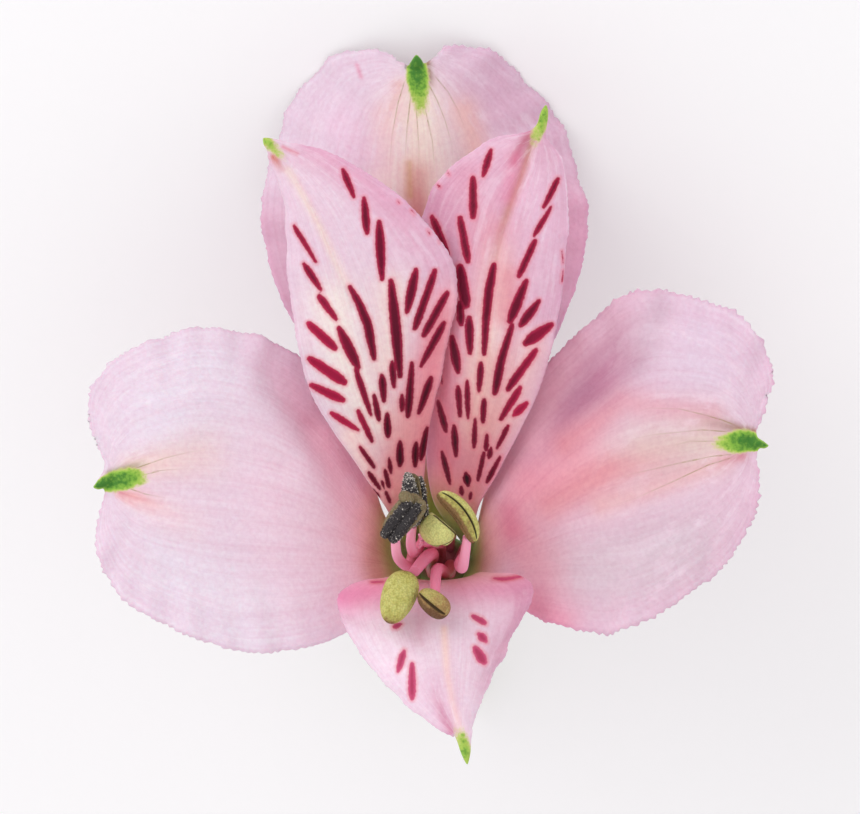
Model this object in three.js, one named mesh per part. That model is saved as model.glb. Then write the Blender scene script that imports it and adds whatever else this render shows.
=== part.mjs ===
// One alstroemeria flower with its ovary and a cut piece of its stalk, lying on its back on a
// flat surface. The flower has six tepals in two whorls (three outer, three inner), six stamens,
// each a filament with an anther on its tip, and one style, all on top of a ribbed ovary.
//
// The pieces are placed in the flower's own face frame, in millimetres: the origin is the top of
// the ovary, +X is right and +Y up for someone who looks into the open flower, and +Z points out
// of the flower at them. The throat leans up from +Z. At the end the whole flower is laid down.
import * as THREE from "three";

// ---------------------------------------------------------------- driving dimensions
const THROAT_LEAN_DEG = 30; // from +Z towards +Y
const SEAT_GAP = 0.3; // clearance where two pieces meet

const TEPAL_THICKNESS = 0.5; // along the midrib
const RIM_THICKNESS = 0.3;
const HORN_THICKNESS = 0.9; // the fleshy green tip
const HORN_START = 0.84; // where the tip begins to thicken, as a share of the tepal's length
const HORN_FULL = 0.95; // and where it has its full thickness
const TEPAL_ROWS = 24; // facets along a tepal
const TEPAL_COLUMNS = 12; // facets across it

const STAMEN_RING_RADIUS = 1.75; // the filaments stand in a ring around the style
const FILAMENT_RADIUS = 0.48;
const STYLE_RADIUS = 0.42;
const STYLE_LIFT = 0.1; // the style's foot stands this much above the filaments' feet
const STRAND_SIDES = 10; // facets around a filament, the style or the stalk
const STRAND_STEPS = 18; // facets along a filament or the style
const GROOVE_DEPTH = 0.22; // between an anther's two lobes, as a share of its half depth
const GROOVE_WIDTH = 0.25; // as a share of its half width

const OVARY_LENGTH = 7.5;
const OVARY_RADIUS = 3.5;
const OVARY_RIBS = 6;
const RIB_HEIGHT = 0.35;

const STALK_RADIUS = 1.4;
const STALK_LENGTH = 25;
const STALK_SWEEP = 2.5; // how far its cut end lies to the side
const STALK_STEPS = 10; // facets along it

// The flower lies on both shoulders of its top tepal and on the cut end of its stalk.
const LIE_BACK_DEG = -25.8; // turn about +X
const LIE_SIDE_DEG = 0; // turn about +Y

// ---------------------------------------------------------------- materials
const matte = (color, roughness) => new THREE.MeshStandardMaterial({ color, roughness, metalness: 0 });
const OUTER_PINK = "#ead0e2";
const INNER_PINK = "#f0d3d6";
const FILAMENT_PINK = "#e58aa8";
const STYLE_PINK = "#d97f9c";
const POLLEN_GREY = "#3c3a40";
const ANTHER_GREEN = "#b5b463";
const ANTHER_BROWN = "#8c7a50";
const OVARY_GREEN = "#6f8f3c";
const STALK_GREEN = "#7f9a4a";

// ---------------------------------------------------------------- shapes
const toVector = ([x, y, z]) => new THREE.Vector3(x, y, z);
const smoothCurve = (points) => new THREE.CatmullRomCurve3(points.map(toVector), false, "catmullrom", 0.5);

// Directions of the throat: along it, across it to the right, and across it upwards.
const lean = THREE.MathUtils.degToRad(THROAT_LEAN_DEG);
const throat = {
  along: new THREE.Vector3(0, Math.sin(lean), Math.cos(lean)),
  right: new THREE.Vector3(1, 0, 0),
  up: new THREE.Vector3(0, Math.cos(lean), -Math.sin(lean)),
};
const inThroat = (along, right = 0, up = 0) =>
  new THREE.Vector3()
    .addScaledVector(throat.along, along)
    .addScaledVector(throat.right, right)
    .addScaledVector(throat.up, up)
    .toArray();

// A tepal is the smooth skin through its cross-sections, from its seat on the ovary to its tip.
// A section is [left edge, midrib, right edge], as seen from the middle of the flower with the
// tepal's tip up: along the tepal each of the three follows a smooth curve, and across it a
// parabola joins them.
function tepalSkin(sections) {
  const curves = [0, 1, 2].map((i) => smoothCurve(sections.map((section) => section[i])));
  return (along, across) => {
    const [left, midrib, right] = curves.map((curve) => curve.getPoint(along));
    const slope = right.clone().sub(left).multiplyScalar(across / 2);
    const bow = left.add(right).multiplyScalar(0.5).sub(midrib).multiplyScalar(across * across);
    return midrib.add(slope).add(bow);
  };
}

// The skin's normal on the side that faces into the flower.
function skinNormal(skin, along, across) {
  const step = 0.002;
  const from = Math.min(along, 1 - 4 * step);
  const lengthwise = skin(from + step, across).sub(skin(from, across));
  const crosswise = skin(from, across + step).sub(skin(from, across - step));
  return crosswise.cross(lengthwise).normalize();
}

function tepalThickness(along, across) {
  const horn = THREE.MathUtils.smoothstep(along, HORN_START, HORN_FULL) * (1 - across * across);
  const blade = THREE.MathUtils.lerp(TEPAL_THICKNESS, RIM_THICKNESS, across * across);
  return THREE.MathUtils.lerp(blade, HORN_THICKNESS, horn);
}

// Vertices of a tepal, side by side: the face, then the back, each row by row with the tip last.
function tepalVertices(skin) {
  const vertices = [];
  for (const side of [0.5, -0.5]) {
    for (let row = 0; row < TEPAL_ROWS; row++) {
      for (let column = 0; column <= TEPAL_COLUMNS; column++) {
        const along = row / TEPAL_ROWS;
        const across = (2 * column) / TEPAL_COLUMNS - 1;
        const lift = side * tepalThickness(along, across);
        vertices.push(...skin(along, across).addScaledVector(skinNormal(skin, along, across), lift));
      }
    }
    vertices.push(...skin(1, 0).addScaledVector(skinNormal(skin, 1, 0), side * RIM_THICKNESS));
  }
  return vertices;
}

// The triangles between them: both sides, the two rims and the seat, all facing out.
function tepalTriangles() {
  const rowSize = TEPAL_COLUMNS + 1;
  const tip = TEPAL_ROWS * rowSize;
  const at = (row, column, back) => back * (tip + 1) + (row === TEPAL_ROWS ? tip : row * rowSize + column);
  const triangles = [];
  const quad = (a, b, c, d) => {
    triangles.push(...(a === b ? [] : [a, b, c]), ...(c === d ? [] : [a, c, d]));
  };
  for (let row = 0; row < TEPAL_ROWS; row++) {
    const next = row + 1;
    for (let column = 0; column < TEPAL_COLUMNS; column++) {
      const beside = column + 1;
      quad(at(row, column, 0), at(row, beside, 0), at(next, beside, 0), at(next, column, 0));
      quad(at(row, beside, 1), at(row, column, 1), at(next, column, 1), at(next, beside, 1));
    }
    const last = TEPAL_COLUMNS;
    quad(at(row, 0, 1), at(row, 0, 0), at(next, 0, 0), at(next, 0, 1));
    quad(at(row, last, 0), at(row, last, 1), at(next, last, 1), at(next, last, 0));
  }
  for (let column = 0; column < TEPAL_COLUMNS; column++) {
    quad(at(0, column, 1), at(0, column + 1, 1), at(0, column + 1, 0), at(0, column, 0));
  }
  return triangles;
}

function tepalGeometry(sections) {
  const vertices = tepalVertices(tepalSkin(sections));
  return new THREE.BufferGeometry()
    .setAttribute("position", new THREE.Float32BufferAttribute(vertices, 3))
    .setIndex(tepalTriangles());
}

// A round strand along the smooth curve through the points.
function strandGeometry(points, radius, steps) {
  const section = new THREE.Shape().absarc(0, 0, radius, 0, 2 * Math.PI);
  return new THREE.ExtrudeGeometry(section, {
    steps,
    curveSegments: STRAND_SIDES / 2,
    bevelEnabled: false,
    extrudePath: smoothCurve(points),
  });
}

// An anther is an egg with a groove down its face, +Z along it and +Y out of its face.
function antherGeometry({ length, width, depth, curl = 0 }) {
  const made = new THREE.SphereGeometry(1, 14, 10).rotateX(Math.PI / 2);
  const position = made.getAttribute("position");
  for (let i = 0; i < position.count; i++) {
    const [x, y, z] = [position.getX(i), position.getY(i), position.getZ(i)];
    const groove = GROOVE_DEPTH * Math.max(0, y) * Math.exp(-((x / GROOVE_WIDTH) ** 2));
    const bend = curl * (1 - z * z);
    position.setXYZ(i, (x * width) / 2 + bend, ((y - groove) * depth) / 2, (z * length) / 2);
  }
  return made;
}

function ovaryGeometry() {
  const profile = [
    [0, -OVARY_LENGTH],
    [STALK_RADIUS + 0.1, -OVARY_LENGTH],
    [2.3, -OVARY_LENGTH + 1.2],
    [3.1, -OVARY_LENGTH + 2.8],
    [OVARY_RADIUS, -2.6],
    [OVARY_RADIUS, -1.2],
    [OVARY_RADIUS - 0.4, -0.3],
    [0, 0],
  ].map(([radius, height]) => new THREE.Vector2(radius, height));
  const made = new THREE.LatheGeometry(profile, 8 * OVARY_RIBS).rotateX(Math.PI / 2);
  const position = made.getAttribute("position");
  for (let i = 0; i < position.count; i++) {
    const [x, y, z] = [position.getX(i), position.getY(i), position.getZ(i)];
    const belly = Math.sin((Math.PI * -z) / OVARY_LENGTH);
    const swell = 1 + (RIB_HEIGHT / OVARY_RADIUS) * belly * Math.cos(OVARY_RIBS * Math.atan2(y, x));
    position.setXY(i, x * swell, y * swell);
  }
  return made;
}

function piece(name, geometry, material) {
  const mesh = new THREE.Mesh(geometry, material);
  mesh.name = name;
  return mesh;
}

// ---------------------------------------------------------------- tepals
// Sections run from the seat on the ovary to the tip: [left edge, midrib, right edge].
const TEPALS = {
  outer_tepal_top: [
    [[-1.2, 2.3, -1.2], [0, 2.6, -1.5], [1.2, 2.3, -1.2]],
    [[-3, 9.5, 2.5], [-0.2, 10, 1.2], [2.8, 9.5, 2.5]],
    [[-9, 16.5, 6], [-0.6, 18, 3.8], [7.5, 16.5, 6]],
    [[-16, 26.2, 6.5], [-1.1, 27, 5.6], [12.4, 24.8, 6.5]],
    [[-18.4, 36.6, 3.6], [-1.6, 36, 6.6], [14.9, 34.5, 3]],
    [[-15.6, 46.6, 1.6], [-2, 42.2, 7.2], [12.7, 44, 0.5]],
    [[-11.8, 51.4, 2.8], [-2.2, 45.2, 7.3], [9.6, 48.4, 1.4]],
    [[-7.2, 52.4, 5], [-2.3, 47.6, 7.2], [5.6, 52, 3.6]],
    [[-3.9, 51.7, 6.2], [-2.4, 49.6, 7], [1, 52.7, 5.6]],
    [[-3.4, 51, 6.4], [-2.5, 50.6, 6.8], [-1.5, 51.3, 6.3]],
    [[-2.6, 52, 7.2], [-2.6, 52, 7.2], [-2.6, 52, 7.2]],
  ],
  outer_tepal_left: [
    [[-2.1, -2.1, 1.2], [-2.6, -1.3, 0.8], [-3.1, -0.5, 0.3]],
    [[-5.5, -2.2, 8], [-6.3, 1.6, 7.2], [-5.7, 5, 5]],
    [[-9, -6.3, 13.5], [-11.3, 5.8, 12.5], [-8.8, 13.8, 8.8]],
    [[-13.6, -7.9, 18], [-16.6, 8.2, 16.3], [-14.3, 20.9, 11]],
    [[-19.9, -8.1, 21], [-22.5, 9.3, 18.8], [-22.7, 23.8, 14]],
    [[-26.9, -5.6, 22], [-27, 9.3, 20], [-29.4, 22.2, 16.4]],
    [[-31.8, -2.4, 22.2], [-29.9, 9.1, 20.4], [-33.6, 19.6, 17.6]],
    [[-34, 2.6, 21.8], [-31.8, 8.8, 20.5], [-35, 15.2, 18.8]],
    [[-33.3, 7.4, 20.7], [-32.7, 8.6, 20.3], [-33.4, 10.4, 20]],
    [[-34.3, 8, 21], [-34.3, 8, 21], [-34.3, 8, 21]],
  ],
  outer_tepal_right: [
    [[3.1, -0.5, 0.3], [2.6, -1.3, 0.8], [2.1, -2.1, 1.2]],
    [[4.2, 5.9, 5], [4.9, 1.2, 7.2], [4.6, -2.2, 8]],
    [[6.3, 14, 8.8], [9.2, 5, 12.5], [7.8, -4.2, 13.5]],
    [[11.4, 20.9, 11], [14.3, 8.4, 16], [11.2, -5.6, 17.5]],
    [[19, 27.2, 14], [20.1, 10.8, 18.5], [17.1, -6.2, 20.3]],
    [[26.4, 26.3, 16.2], [24.8, 11.9, 19.6], [23.4, -3, 21.6]],
    [[30.8, 23.7, 17.4], [27.4, 12.2, 20], [28.2, 1, 21.6]],
    [[32.7, 18.8, 18.6], [29.4, 12.3, 20.1], [31, 6.6, 21.2]],
    [[31.1, 13.6, 19.9], [30.5, 12.3, 20], [31.1, 11.3, 20.4]],
    [[32.1, 12.1, 20.7], [32.1, 12.1, 20.7], [32.1, 12.1, 20.7]],
  ],
  inner_tepal_left: [
    [[-3.15, 0.5, -0.3], [-2.6, 1.3, -0.75], [-2.05, 2.1, -1.2]],
    [[-5.2, 5, 6], [-3.8, 5.2, 4.7], [-2, 5.9, 4.3]],
    [[-8.2, 9.5, 11.2], [-5.1, 11.5, 10], [-1.4, 13.4, 8.5]],
    [[-13.2, 17.6, 14.3], [-6.5, 20.1, 13.8], [0.3, 21.2, 12.5]],
    [[-15.2, 27.6, 15], [-8.7, 28.8, 16], [1.3, 29.6, 14.9]],
    [[-15.6, 35.4, 15.2], [-11.7, 35.6, 16.2], [-3.9, 36.6, 15.3]],
    [[-16.9, 39.6, 14.8], [-14.7, 39.7, 15.4], [-10.6, 41, 15.2]],
    [[-17.4, 41.2, 14.6], [-16.4, 41.5, 14.8], [-15, 42.3, 14.8]],
    [[-17.8, 42.8, 14.5], [-17.8, 42.8, 14.5], [-17.8, 42.8, 14.5]],
  ],
  inner_tepal_right: [
    [[2.05, 2.1, -1.2], [2.6, 1.3, -0.75], [3.15, 0.5, -0.3]],
    [[-0.9, 6.6, 3.4], [1.3, 5.6, 4.2], [3.4, 5.2, 5.8]],
    [[-1.6, 13.4, 6.6], [2.6, 12, 9], [5.9, 9.7, 10.5]],
    [[-1.6, 21.6, 9.2], [4, 19.1, 12.8], [9.8, 17.9, 13.8]],
    [[-2.6, 30, 10.6], [5.2, 28.1, 15.1], [11.8, 26.4, 15]],
    [[-1, 37.6, 12.4], [7, 35.4, 15.5], [12.5, 34.6, 14.9]],
    [[4.4, 42.4, 14.4], [9, 40.2, 15], [12.1, 40.2, 14.5]],
    [[8.9, 43.6, 14.7], [9.8, 43, 14.8], [10.5, 42.9, 14.6]],
    [[10.4, 46, 15], [10.4, 46, 15], [10.4, 46, 15]],
  ],
  inner_tepal_lip: [
    [[1.1, -2.6, 1.5], [0, -2.6, 1.5], [-1.1, -2.6, 1.5]],
    [[2.2, -1.9, 9], [0.1, -2.9, 9], [-2.2, -1.9, 9]],
    [[4.1, -0.7, 15.3], [0.3, -1.6, 16.6], [-5.5, -1.2, 15.3]],
    [[8.9, -1.6, 18], [0, -4.3, 21.8], [-10.2, -2.6, 18.2]],
    [[6.9, -6.6, 22.5], [0.3, -7.8, 26], [-8.9, -6.8, 22.5]],
    [[4.6, -10.6, 27], [0.7, -11.4, 29.6], [-5.2, -11.3, 27]],
    [[3.2, -13.7, 31.3], [1.4, -14.2, 32], [-0.6, -14.9, 31.3]],
    [[2.8, -15.5, 33], [1.9, -15.7, 33.3], [1.1, -15.6, 33]],
    [[2.3, -18, 34.5], [2.3, -18, 34.5], [2.3, -18, 34.5]],
  ],
};

function makeTepals(bloom) {
  for (const [name, sections] of Object.entries(TEPALS)) {
    const color = name.startsWith("outer") ? OUTER_PINK : INNER_PINK;
    bloom.add(piece(name, tepalGeometry(sections), matte(color, 0.6)));
  }
}

// ---------------------------------------------------------------- stamens and style
// A filament starts on the ring, at an angle counted from the right, and runs through points.
// An anther's axis runs down to its filament's end, and its face looks at the viewer or beside.
const STAMENS = [
  {
    angle: 120,
    points: [[-1.5, 3.2, 7], [-2, 2.3, 13.5], [-2.8, 1.5, 19.4], [-3.1, 2.6, 22], [-2.9, 4.1, 23.6]],
    at: [-2.8, 7.3, 24.2], axis: [0.12, -0.98, -0.1], face: [0.3, 0, 1],
    size: { length: 5.4, width: 2.5, depth: 2.2 }, color: POLLEN_GREY,
  },
  {
    angle: 180,
    points: [[-2.7, 1.6, 7], [-3.1, 0.4, 14], [-3.4, 0.1, 19], [-4.4, 1.2, 22.6], [-4.6, 3.2, 26.3]],
    at: [-3.8, 5.1, 27.4], axis: [-0.6, -0.8, 0], face: [0, 0, 1],
    size: { length: 5.6, width: 3, depth: 2.4 }, color: POLLEN_GREY,
  },
  {
    angle: 60,
    points: [[1.2, 3.4, 7], [0.9, 3.4, 13], [-0.2, 3.7, 18], [-1, 4.1, 21.1]],
    at: [-0.4, 3.9, 24], axis: [-0.35, 0.25, -0.9], face: [0.3, -1, -0.3],
    size: { length: 5, width: 3, depth: 2.8 }, color: ANTHER_GREEN,
  },
  {
    angle: 0,
    points: [[2.4, 1.6, 7], [2.2, 1, 13], [1.7, 0.3, 17.5], [2, 0, 20.6], [2.2, 1.2, 22.7], [2.5, 3, 24]],
    at: [1.5, 5.2, 25], axis: [0.6, -0.8, 0], face: [0.2, 0.2, 1],
    size: { length: 6, width: 2.1, depth: 2.1, curl: 0.5 }, color: ANTHER_GREEN,
  },
  {
    angle: 240,
    points: [[-1.2, 0.1, 7], [-0.9, 0.3, 13.5], [-1.2, 0.6, 18], [-1.9, 0.4, 21], [-2.7, -0.2, 23.5]],
    at: [-4.3, -2.7, 24.9], axis: [-0.3, -0.85, 0.42], face: [0.4, 0.3, -0.8],
    size: { length: 5.7, width: 3.4, depth: 2.8 }, color: ANTHER_GREEN,
  },
  {
    angle: 300,
    points: [[0.9, -0.2, 7], [0.4, -0.8, 13], [0, -0.2, 17.6], [-0.4, -0.4, 21], [-0.6, -2.3, 24.4]],
    at: [-0.7, -3.3, 26.1], axis: [0.75, -0.6, 0.2], face: [-0.2, -0.3, 0.9],
    size: { length: 4, width: 2.9, depth: 2.4 }, color: ANTHER_BROWN,
  },
];
const STYLE_POINTS = [[0, 1.8, 7], [-0.4, 2, 13], [-1.5, 2.3, 18], [-1.9, 2.7, 20.5]];

// Turns a piece so that its +Z runs along the axis and its +Y looks towards the face.
function turnTo(mesh, axis, face) {
  const z = toVector(axis).normalize();
  const x = toVector(face).cross(z).normalize();
  const y = z.clone().cross(x);
  mesh.quaternion.setFromRotationMatrix(new THREE.Matrix4().makeBasis(x, y, z));
}

function makeStamens(bloom) {
  STAMENS.forEach(({ angle, points, at, axis, face, size, color }, index) => {
    const turn = THREE.MathUtils.degToRad(angle);
    const foot = inThroat(0, STAMEN_RING_RADIUS * Math.cos(turn), STAMEN_RING_RADIUS * Math.sin(turn));
    const filament = strandGeometry([foot, ...points], FILAMENT_RADIUS, STRAND_STEPS);
    bloom.add(piece(`filament_${index + 1}`, filament, matte(FILAMENT_PINK, 0.5)));
    const anther = piece(`anther_${index + 1}`, antherGeometry(size), matte(color, 0.8));
    turnTo(anther, axis, face);
    anther.position.set(...at);
    bloom.add(anther);
  });
  const style = strandGeometry([inThroat(STYLE_LIFT), ...STYLE_POINTS], STYLE_RADIUS, STRAND_STEPS);
  bloom.add(piece("style", style, matte(STYLE_PINK, 0.5)));
}

// ---------------------------------------------------------------- ovary and stalk
function makeOvaryAndStalk(bloom) {
  const ovary = piece("ovary", ovaryGeometry(), matte(OVARY_GREEN, 0.55));
  turnTo(ovary, throat.along.toArray(), [0, 1, 0]);
  ovary.position.set(...inThroat(-SEAT_GAP));
  bloom.add(ovary);
  const top = -OVARY_LENGTH - 2 * SEAT_GAP;
  const path = [0, 0.25, 0.5, 0.75, 1].map((share) =>
    inThroat(top - STALK_LENGTH * share, STALK_SWEEP * share ** 2),
  );
  bloom.add(piece("stalk", strandGeometry(path, STALK_RADIUS, STALK_STEPS), matte(STALK_GREEN, 0.55)));
}

// ---------------------------------------------------------------- the whole flower, laid down
const bloom = new THREE.Group();
bloom.name = "bloom";
makeTepals(bloom);
makeStamens(bloom);
makeOvaryAndStalk(bloom);
bloom.rotation.set(
  THREE.MathUtils.degToRad(LIE_BACK_DEG),
  THREE.MathUtils.degToRad(LIE_SIDE_DEG),
  0,
  "YXZ",
);

// The origin is under the middle of the flower, on the surface that it lies on.
const box = new THREE.Box3().setFromObject(bloom, true);
const middle = box.getCenter(new THREE.Vector3());
bloom.position.set(-middle.x, -middle.y, -box.min.z);

const flower = new THREE.Group();
flower.add(bloom);

export default flower;
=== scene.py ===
# %% [markdown]
# # One alstroemeria flower
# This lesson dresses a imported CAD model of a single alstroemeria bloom. The CAD gives each piece's
# place and size: six tepals, six stamens, a style, an ovary and a short stalk. Here every piece
# gets its living surface: toothed rims, creases, veins, crimson streaks, grainy pollen.

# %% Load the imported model
import math

import bpy
import numpy as np
from mathutils import Matrix, Vector


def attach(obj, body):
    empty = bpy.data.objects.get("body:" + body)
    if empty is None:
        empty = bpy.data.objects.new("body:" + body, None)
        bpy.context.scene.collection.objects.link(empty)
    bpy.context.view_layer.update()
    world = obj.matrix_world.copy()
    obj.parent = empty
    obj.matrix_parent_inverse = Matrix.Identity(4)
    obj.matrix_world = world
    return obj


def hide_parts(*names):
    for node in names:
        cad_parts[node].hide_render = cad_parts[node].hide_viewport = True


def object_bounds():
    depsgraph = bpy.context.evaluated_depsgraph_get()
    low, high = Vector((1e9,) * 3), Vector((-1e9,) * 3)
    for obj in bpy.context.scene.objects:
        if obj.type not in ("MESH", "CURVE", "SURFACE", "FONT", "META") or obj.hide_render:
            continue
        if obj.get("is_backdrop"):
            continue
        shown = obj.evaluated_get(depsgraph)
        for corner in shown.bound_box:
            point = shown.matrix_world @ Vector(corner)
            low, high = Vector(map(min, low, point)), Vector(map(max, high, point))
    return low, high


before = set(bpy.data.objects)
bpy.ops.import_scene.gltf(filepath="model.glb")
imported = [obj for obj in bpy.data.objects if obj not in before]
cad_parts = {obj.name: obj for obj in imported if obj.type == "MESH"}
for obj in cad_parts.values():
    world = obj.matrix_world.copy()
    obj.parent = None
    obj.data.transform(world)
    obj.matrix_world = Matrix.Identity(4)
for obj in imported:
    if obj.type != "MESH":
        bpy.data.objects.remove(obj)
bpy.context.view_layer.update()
bpy.ops.object.select_all(action="DESELECT")
MM = 0.001  # Blender works in metres, and this flower is drawn in millimetres

# %% [markdown]
# ## The face frame
# The flower lies on its back, tilted a little. It is far easier to draw in its own face frame:
# X to the right and Y up for someone who looks into the open bloom, Z towards them, and the
# origin on top of the ovary. One matrix carries face millimetres to the model's metres.

# %% The face frame
FACE_ORIGIN_MM = (1.142, -10.894, 19.978)
LIE_BACK_DEG = -25.8
lie_back = Matrix.Rotation(math.radians(LIE_BACK_DEG), 3, "X")


def in_model(points):
    """Carries points from face millimetres to the model's metres."""
    return (np.asarray(points, float) @ np.array(lie_back).T + FACE_ORIGIN_MM) * MM


print("ovary top in the model, mm:", np.round(in_model((0, 0, 0)) / MM, 2))

# %% [markdown]
# ## The camera
# A bloom this small is seen through a long macro lens, straight down its face. Far away and
# narrow, the lens keeps the near lip and the far top tepal at almost the same scale. The height
# of the view plane is that of the tepals' middle, so that drawn marks can be given in
# millimetres as they appear in the view.

# %% The camera
EYE_MM = (-1.2, 15.9, 435)
VIEW_PLANE_MM = 15  # depth, in the face frame, of the plane that marks are drawn on
VIEW_WIDTH_MM = 86
SENSOR_MM = 36

bpy.ops.object.camera_add(location=in_model(EYE_MM), rotation=(math.radians(LIE_BACK_DEG), 0, 0))
camera = bpy.context.object
camera.name = "macro_camera"
camera.data.sensor_width = SENSOR_MM
camera.data.lens = SENSOR_MM * (EYE_MM[2] - VIEW_PLANE_MM) / VIEW_WIDTH_MM
camera.data.clip_start = 0.02
bpy.context.scene.camera = camera


def in_view(points):
    """Where points in face millimetres appear on the view plane, as x and y in millimetres."""
    points = np.asarray(points, float)
    shrink = (EYE_MM[2] - points[..., 2:]) / (EYE_MM[2] - VIEW_PLANE_MM)
    return EYE_MM[:2] + (points[..., :2] - EYE_MM[:2]) / shrink


print("lens mm:", round(camera.data.lens, 1))

# %% [markdown]
# ## Colours and nodes
# Colours are picked as sRGB hex values, but the renderer adds light in linear values, so one
# function converts them. One more function adds a shader node, sets it up, links it and hands
# back its outputs, which keeps the materials below as short as a recipe.

# %% Colours and nodes
def linear(hex_color):
    """An sRGB hex colour as linear red, green, blue and alpha 1."""
    parts = [int(hex_color[i : i + 2], 16) / 255 for i in (1, 3, 5)]
    return [c / 12.92 if c <= 0.04045 else ((c + 0.055) / 1.055) ** 2.4 for c in parts] + [1]


def add_node(tree, kind, inputs=None, stops=(), **settings):
    """Adds a node with its settings, the values or links of its inputs and its colour stops."""
    node = tree.nodes.new("ShaderNode" + kind)
    for name, value in settings.items():
        setattr(node, name, value)
    for name, value in (inputs or {}).items():
        if isinstance(value, bpy.types.NodeSocket):
            tree.links.new(value, node.inputs[name])
        else:
            node.inputs[name].default_value = value
    if stops:
        elements = node.color_ramp.elements
        while len(elements) < len(stops):
            elements.new(0.5)
        for element, (position, color) in zip(elements, stops):
            element.position = position
            element.color = linear(color)
    return node.outputs


def new_material(name, **surface):
    """A material, its node tree and its Principled shader with constant settings."""
    material = bpy.data.materials.new(name)
    material.use_nodes = True
    shader = material.node_tree.nodes["Principled BSDF"]
    for key, value in surface.items():
        shader.inputs[key.replace("_", " ")].default_value = value
    return material, material.node_tree, shader


def dress(tree, shader, color, relief, strength, depth_mm, **settings):
    """Gives a shader its colour, and a height pattern as shallow relief."""
    tree.links.new(color, shader.inputs["Base Color"])
    bump = add_node(tree, "Bump", {"Height": relief, "Strength": strength, "Distance": depth_mm * MM},
                    **settings)
    tree.links.new(bump[0], shader.inputs["Normal"])


print("linear mid grey:", np.round(linear("#808080"), 3))

# %% [markdown]
# ## Floor and light
# Thin petals look best in broad, even light: a large soft lamp from the upper left models the
# folds, and a bright surround fills the rest, so the shadow on the pale floor stays faint. The
# Standard view keeps the petals' pale pinks as they are; a filmic one would grey them.

# %% Floor and light
FLOOR_SIZE = 4  # metres, far past the picture's edges
bpy.ops.mesh.primitive_plane_add(size=FLOOR_SIZE)
floor = bpy.context.object
floor.name = "floor"
floor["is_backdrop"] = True
board, tree, shader = new_material("painted_studio_board", Roughness=0.9, Specular_IOR_Level=0.1)
shader.inputs["Base Color"].default_value = linear("#FBFBFB")
floor.data.materials.append(board)

KEY_FROM = (-0.62, 0.52, 0.75)  # direction to the lamp in the face frame
KEY_DISTANCE_MM = 700
KEY_SIZE_MM = 550
KEY_WATTS = 1.5
bpy.ops.object.light_add(type="AREA", location=in_model(np.array(KEY_FROM) * KEY_DISTANCE_MM))
key = bpy.context.object
key.name = "softbox"
key.data.size = KEY_SIZE_MM * MM
key.data.energy = KEY_WATTS
key.rotation_euler = Vector(key.location).to_track_quat("Z", "Y").to_euler()

SURROUND = 0.94  # brightness of the white studio around the flower
world = bpy.data.worlds.new("studio")
bpy.context.scene.world = world
world.use_nodes = True
world.node_tree.nodes["Background"].inputs["Color"].default_value = linear("#FDFBFD")
world.node_tree.nodes["Background"].inputs["Strength"].default_value = SURROUND
bpy.context.scene.view_settings.view_transform = "Standard"
print("key light mm from the face origin:", KEY_DISTANCE_MM)

# %% [markdown]
# ## A tepal as a skin
# Alstroemeria has no separate petals and sepals: its six tepals are alike, thin leaves that rise
# from a narrow claw, spread into a blade and end in a small green horn. Such a sheet bends two
# ways at once, which no extruding gives. So it is lofted: cross-sections of three points, one on
# each rim and one on the midrib, are joined by smooth curves lengthwise and by a parabola
# crosswise, and a fine grid is laid onto that skin. The CAD is made of the same sections, but
# here each tepal's very tip is a little wider and closes in a round end.

# %% A tepal as a skin
def smooth_curve(points, along):
    """Points at shares of the way along a smooth curve through the given ones."""
    points = np.array(points, float)
    padded = np.vstack([2 * points[0] - points[1], points, 2 * points[-1] - points[-2]])
    place = np.asarray(along) * (len(points) - 1)
    first = np.minimum(place.astype(int), len(points) - 2)
    u = (place - first)[:, None]
    p0, p1, p2, p3 = (padded[first + i] for i in range(4))
    bend = (2 * p0 - 5 * p1 + 4 * p2 - p3) * u**2 + (3 * p1 - p0 - 3 * p2 + p3) * u**3
    return p1 + 0.5 * ((p2 - p0) * u + bend)


ROUND_FROM = 0.945  # share of a tepal's length where its round end begins


def round_end(along):
    """Half width of a unit round end at shares of the way along."""
    return np.sqrt(1 - np.clip((along - ROUND_FROM) / (1 - ROUND_FROM), 0, 1) ** 2)


def skin(sections, along, across):
    """Face millimetres on a tepal; a section is its left edge, midrib and right edge."""
    curves = [smooth_curve([section[i] for section in sections], along) for i in range(3)]
    left, midrib, right = (curve[:, None] for curve in curves)
    t = (round_end(along)[:, None] * across)[..., None]
    return midrib + t * (right - left) / 2 + t**2 * ((left + right) / 2 - midrib)


def unit(vectors):
    """The same directions, one long."""
    return vectors / np.maximum(np.linalg.norm(vectors, axis=-1, keepdims=True), 1e-9)


def directions(points):
    """Lengthwise direction and normal at each point of a grid of points."""
    lengthwise = unit(np.gradient(points, axis=0))
    crosswise = unit(np.gradient(points, axis=1))
    crosswise[-1] = crosswise[-2]  # every point of the last row is the tip
    return lengthwise, unit(np.cross(crosswise, lengthwise))


# %% [markdown]
# ## The tepals' sections
# Each tepal's sections run from its seat on the ovary to its tip. The three outer tepals are
# broad and round-shouldered. The two upper inner ones are narrow tongues, and the third inner
# one, the lip, hangs forward like a shallow apron.

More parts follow.
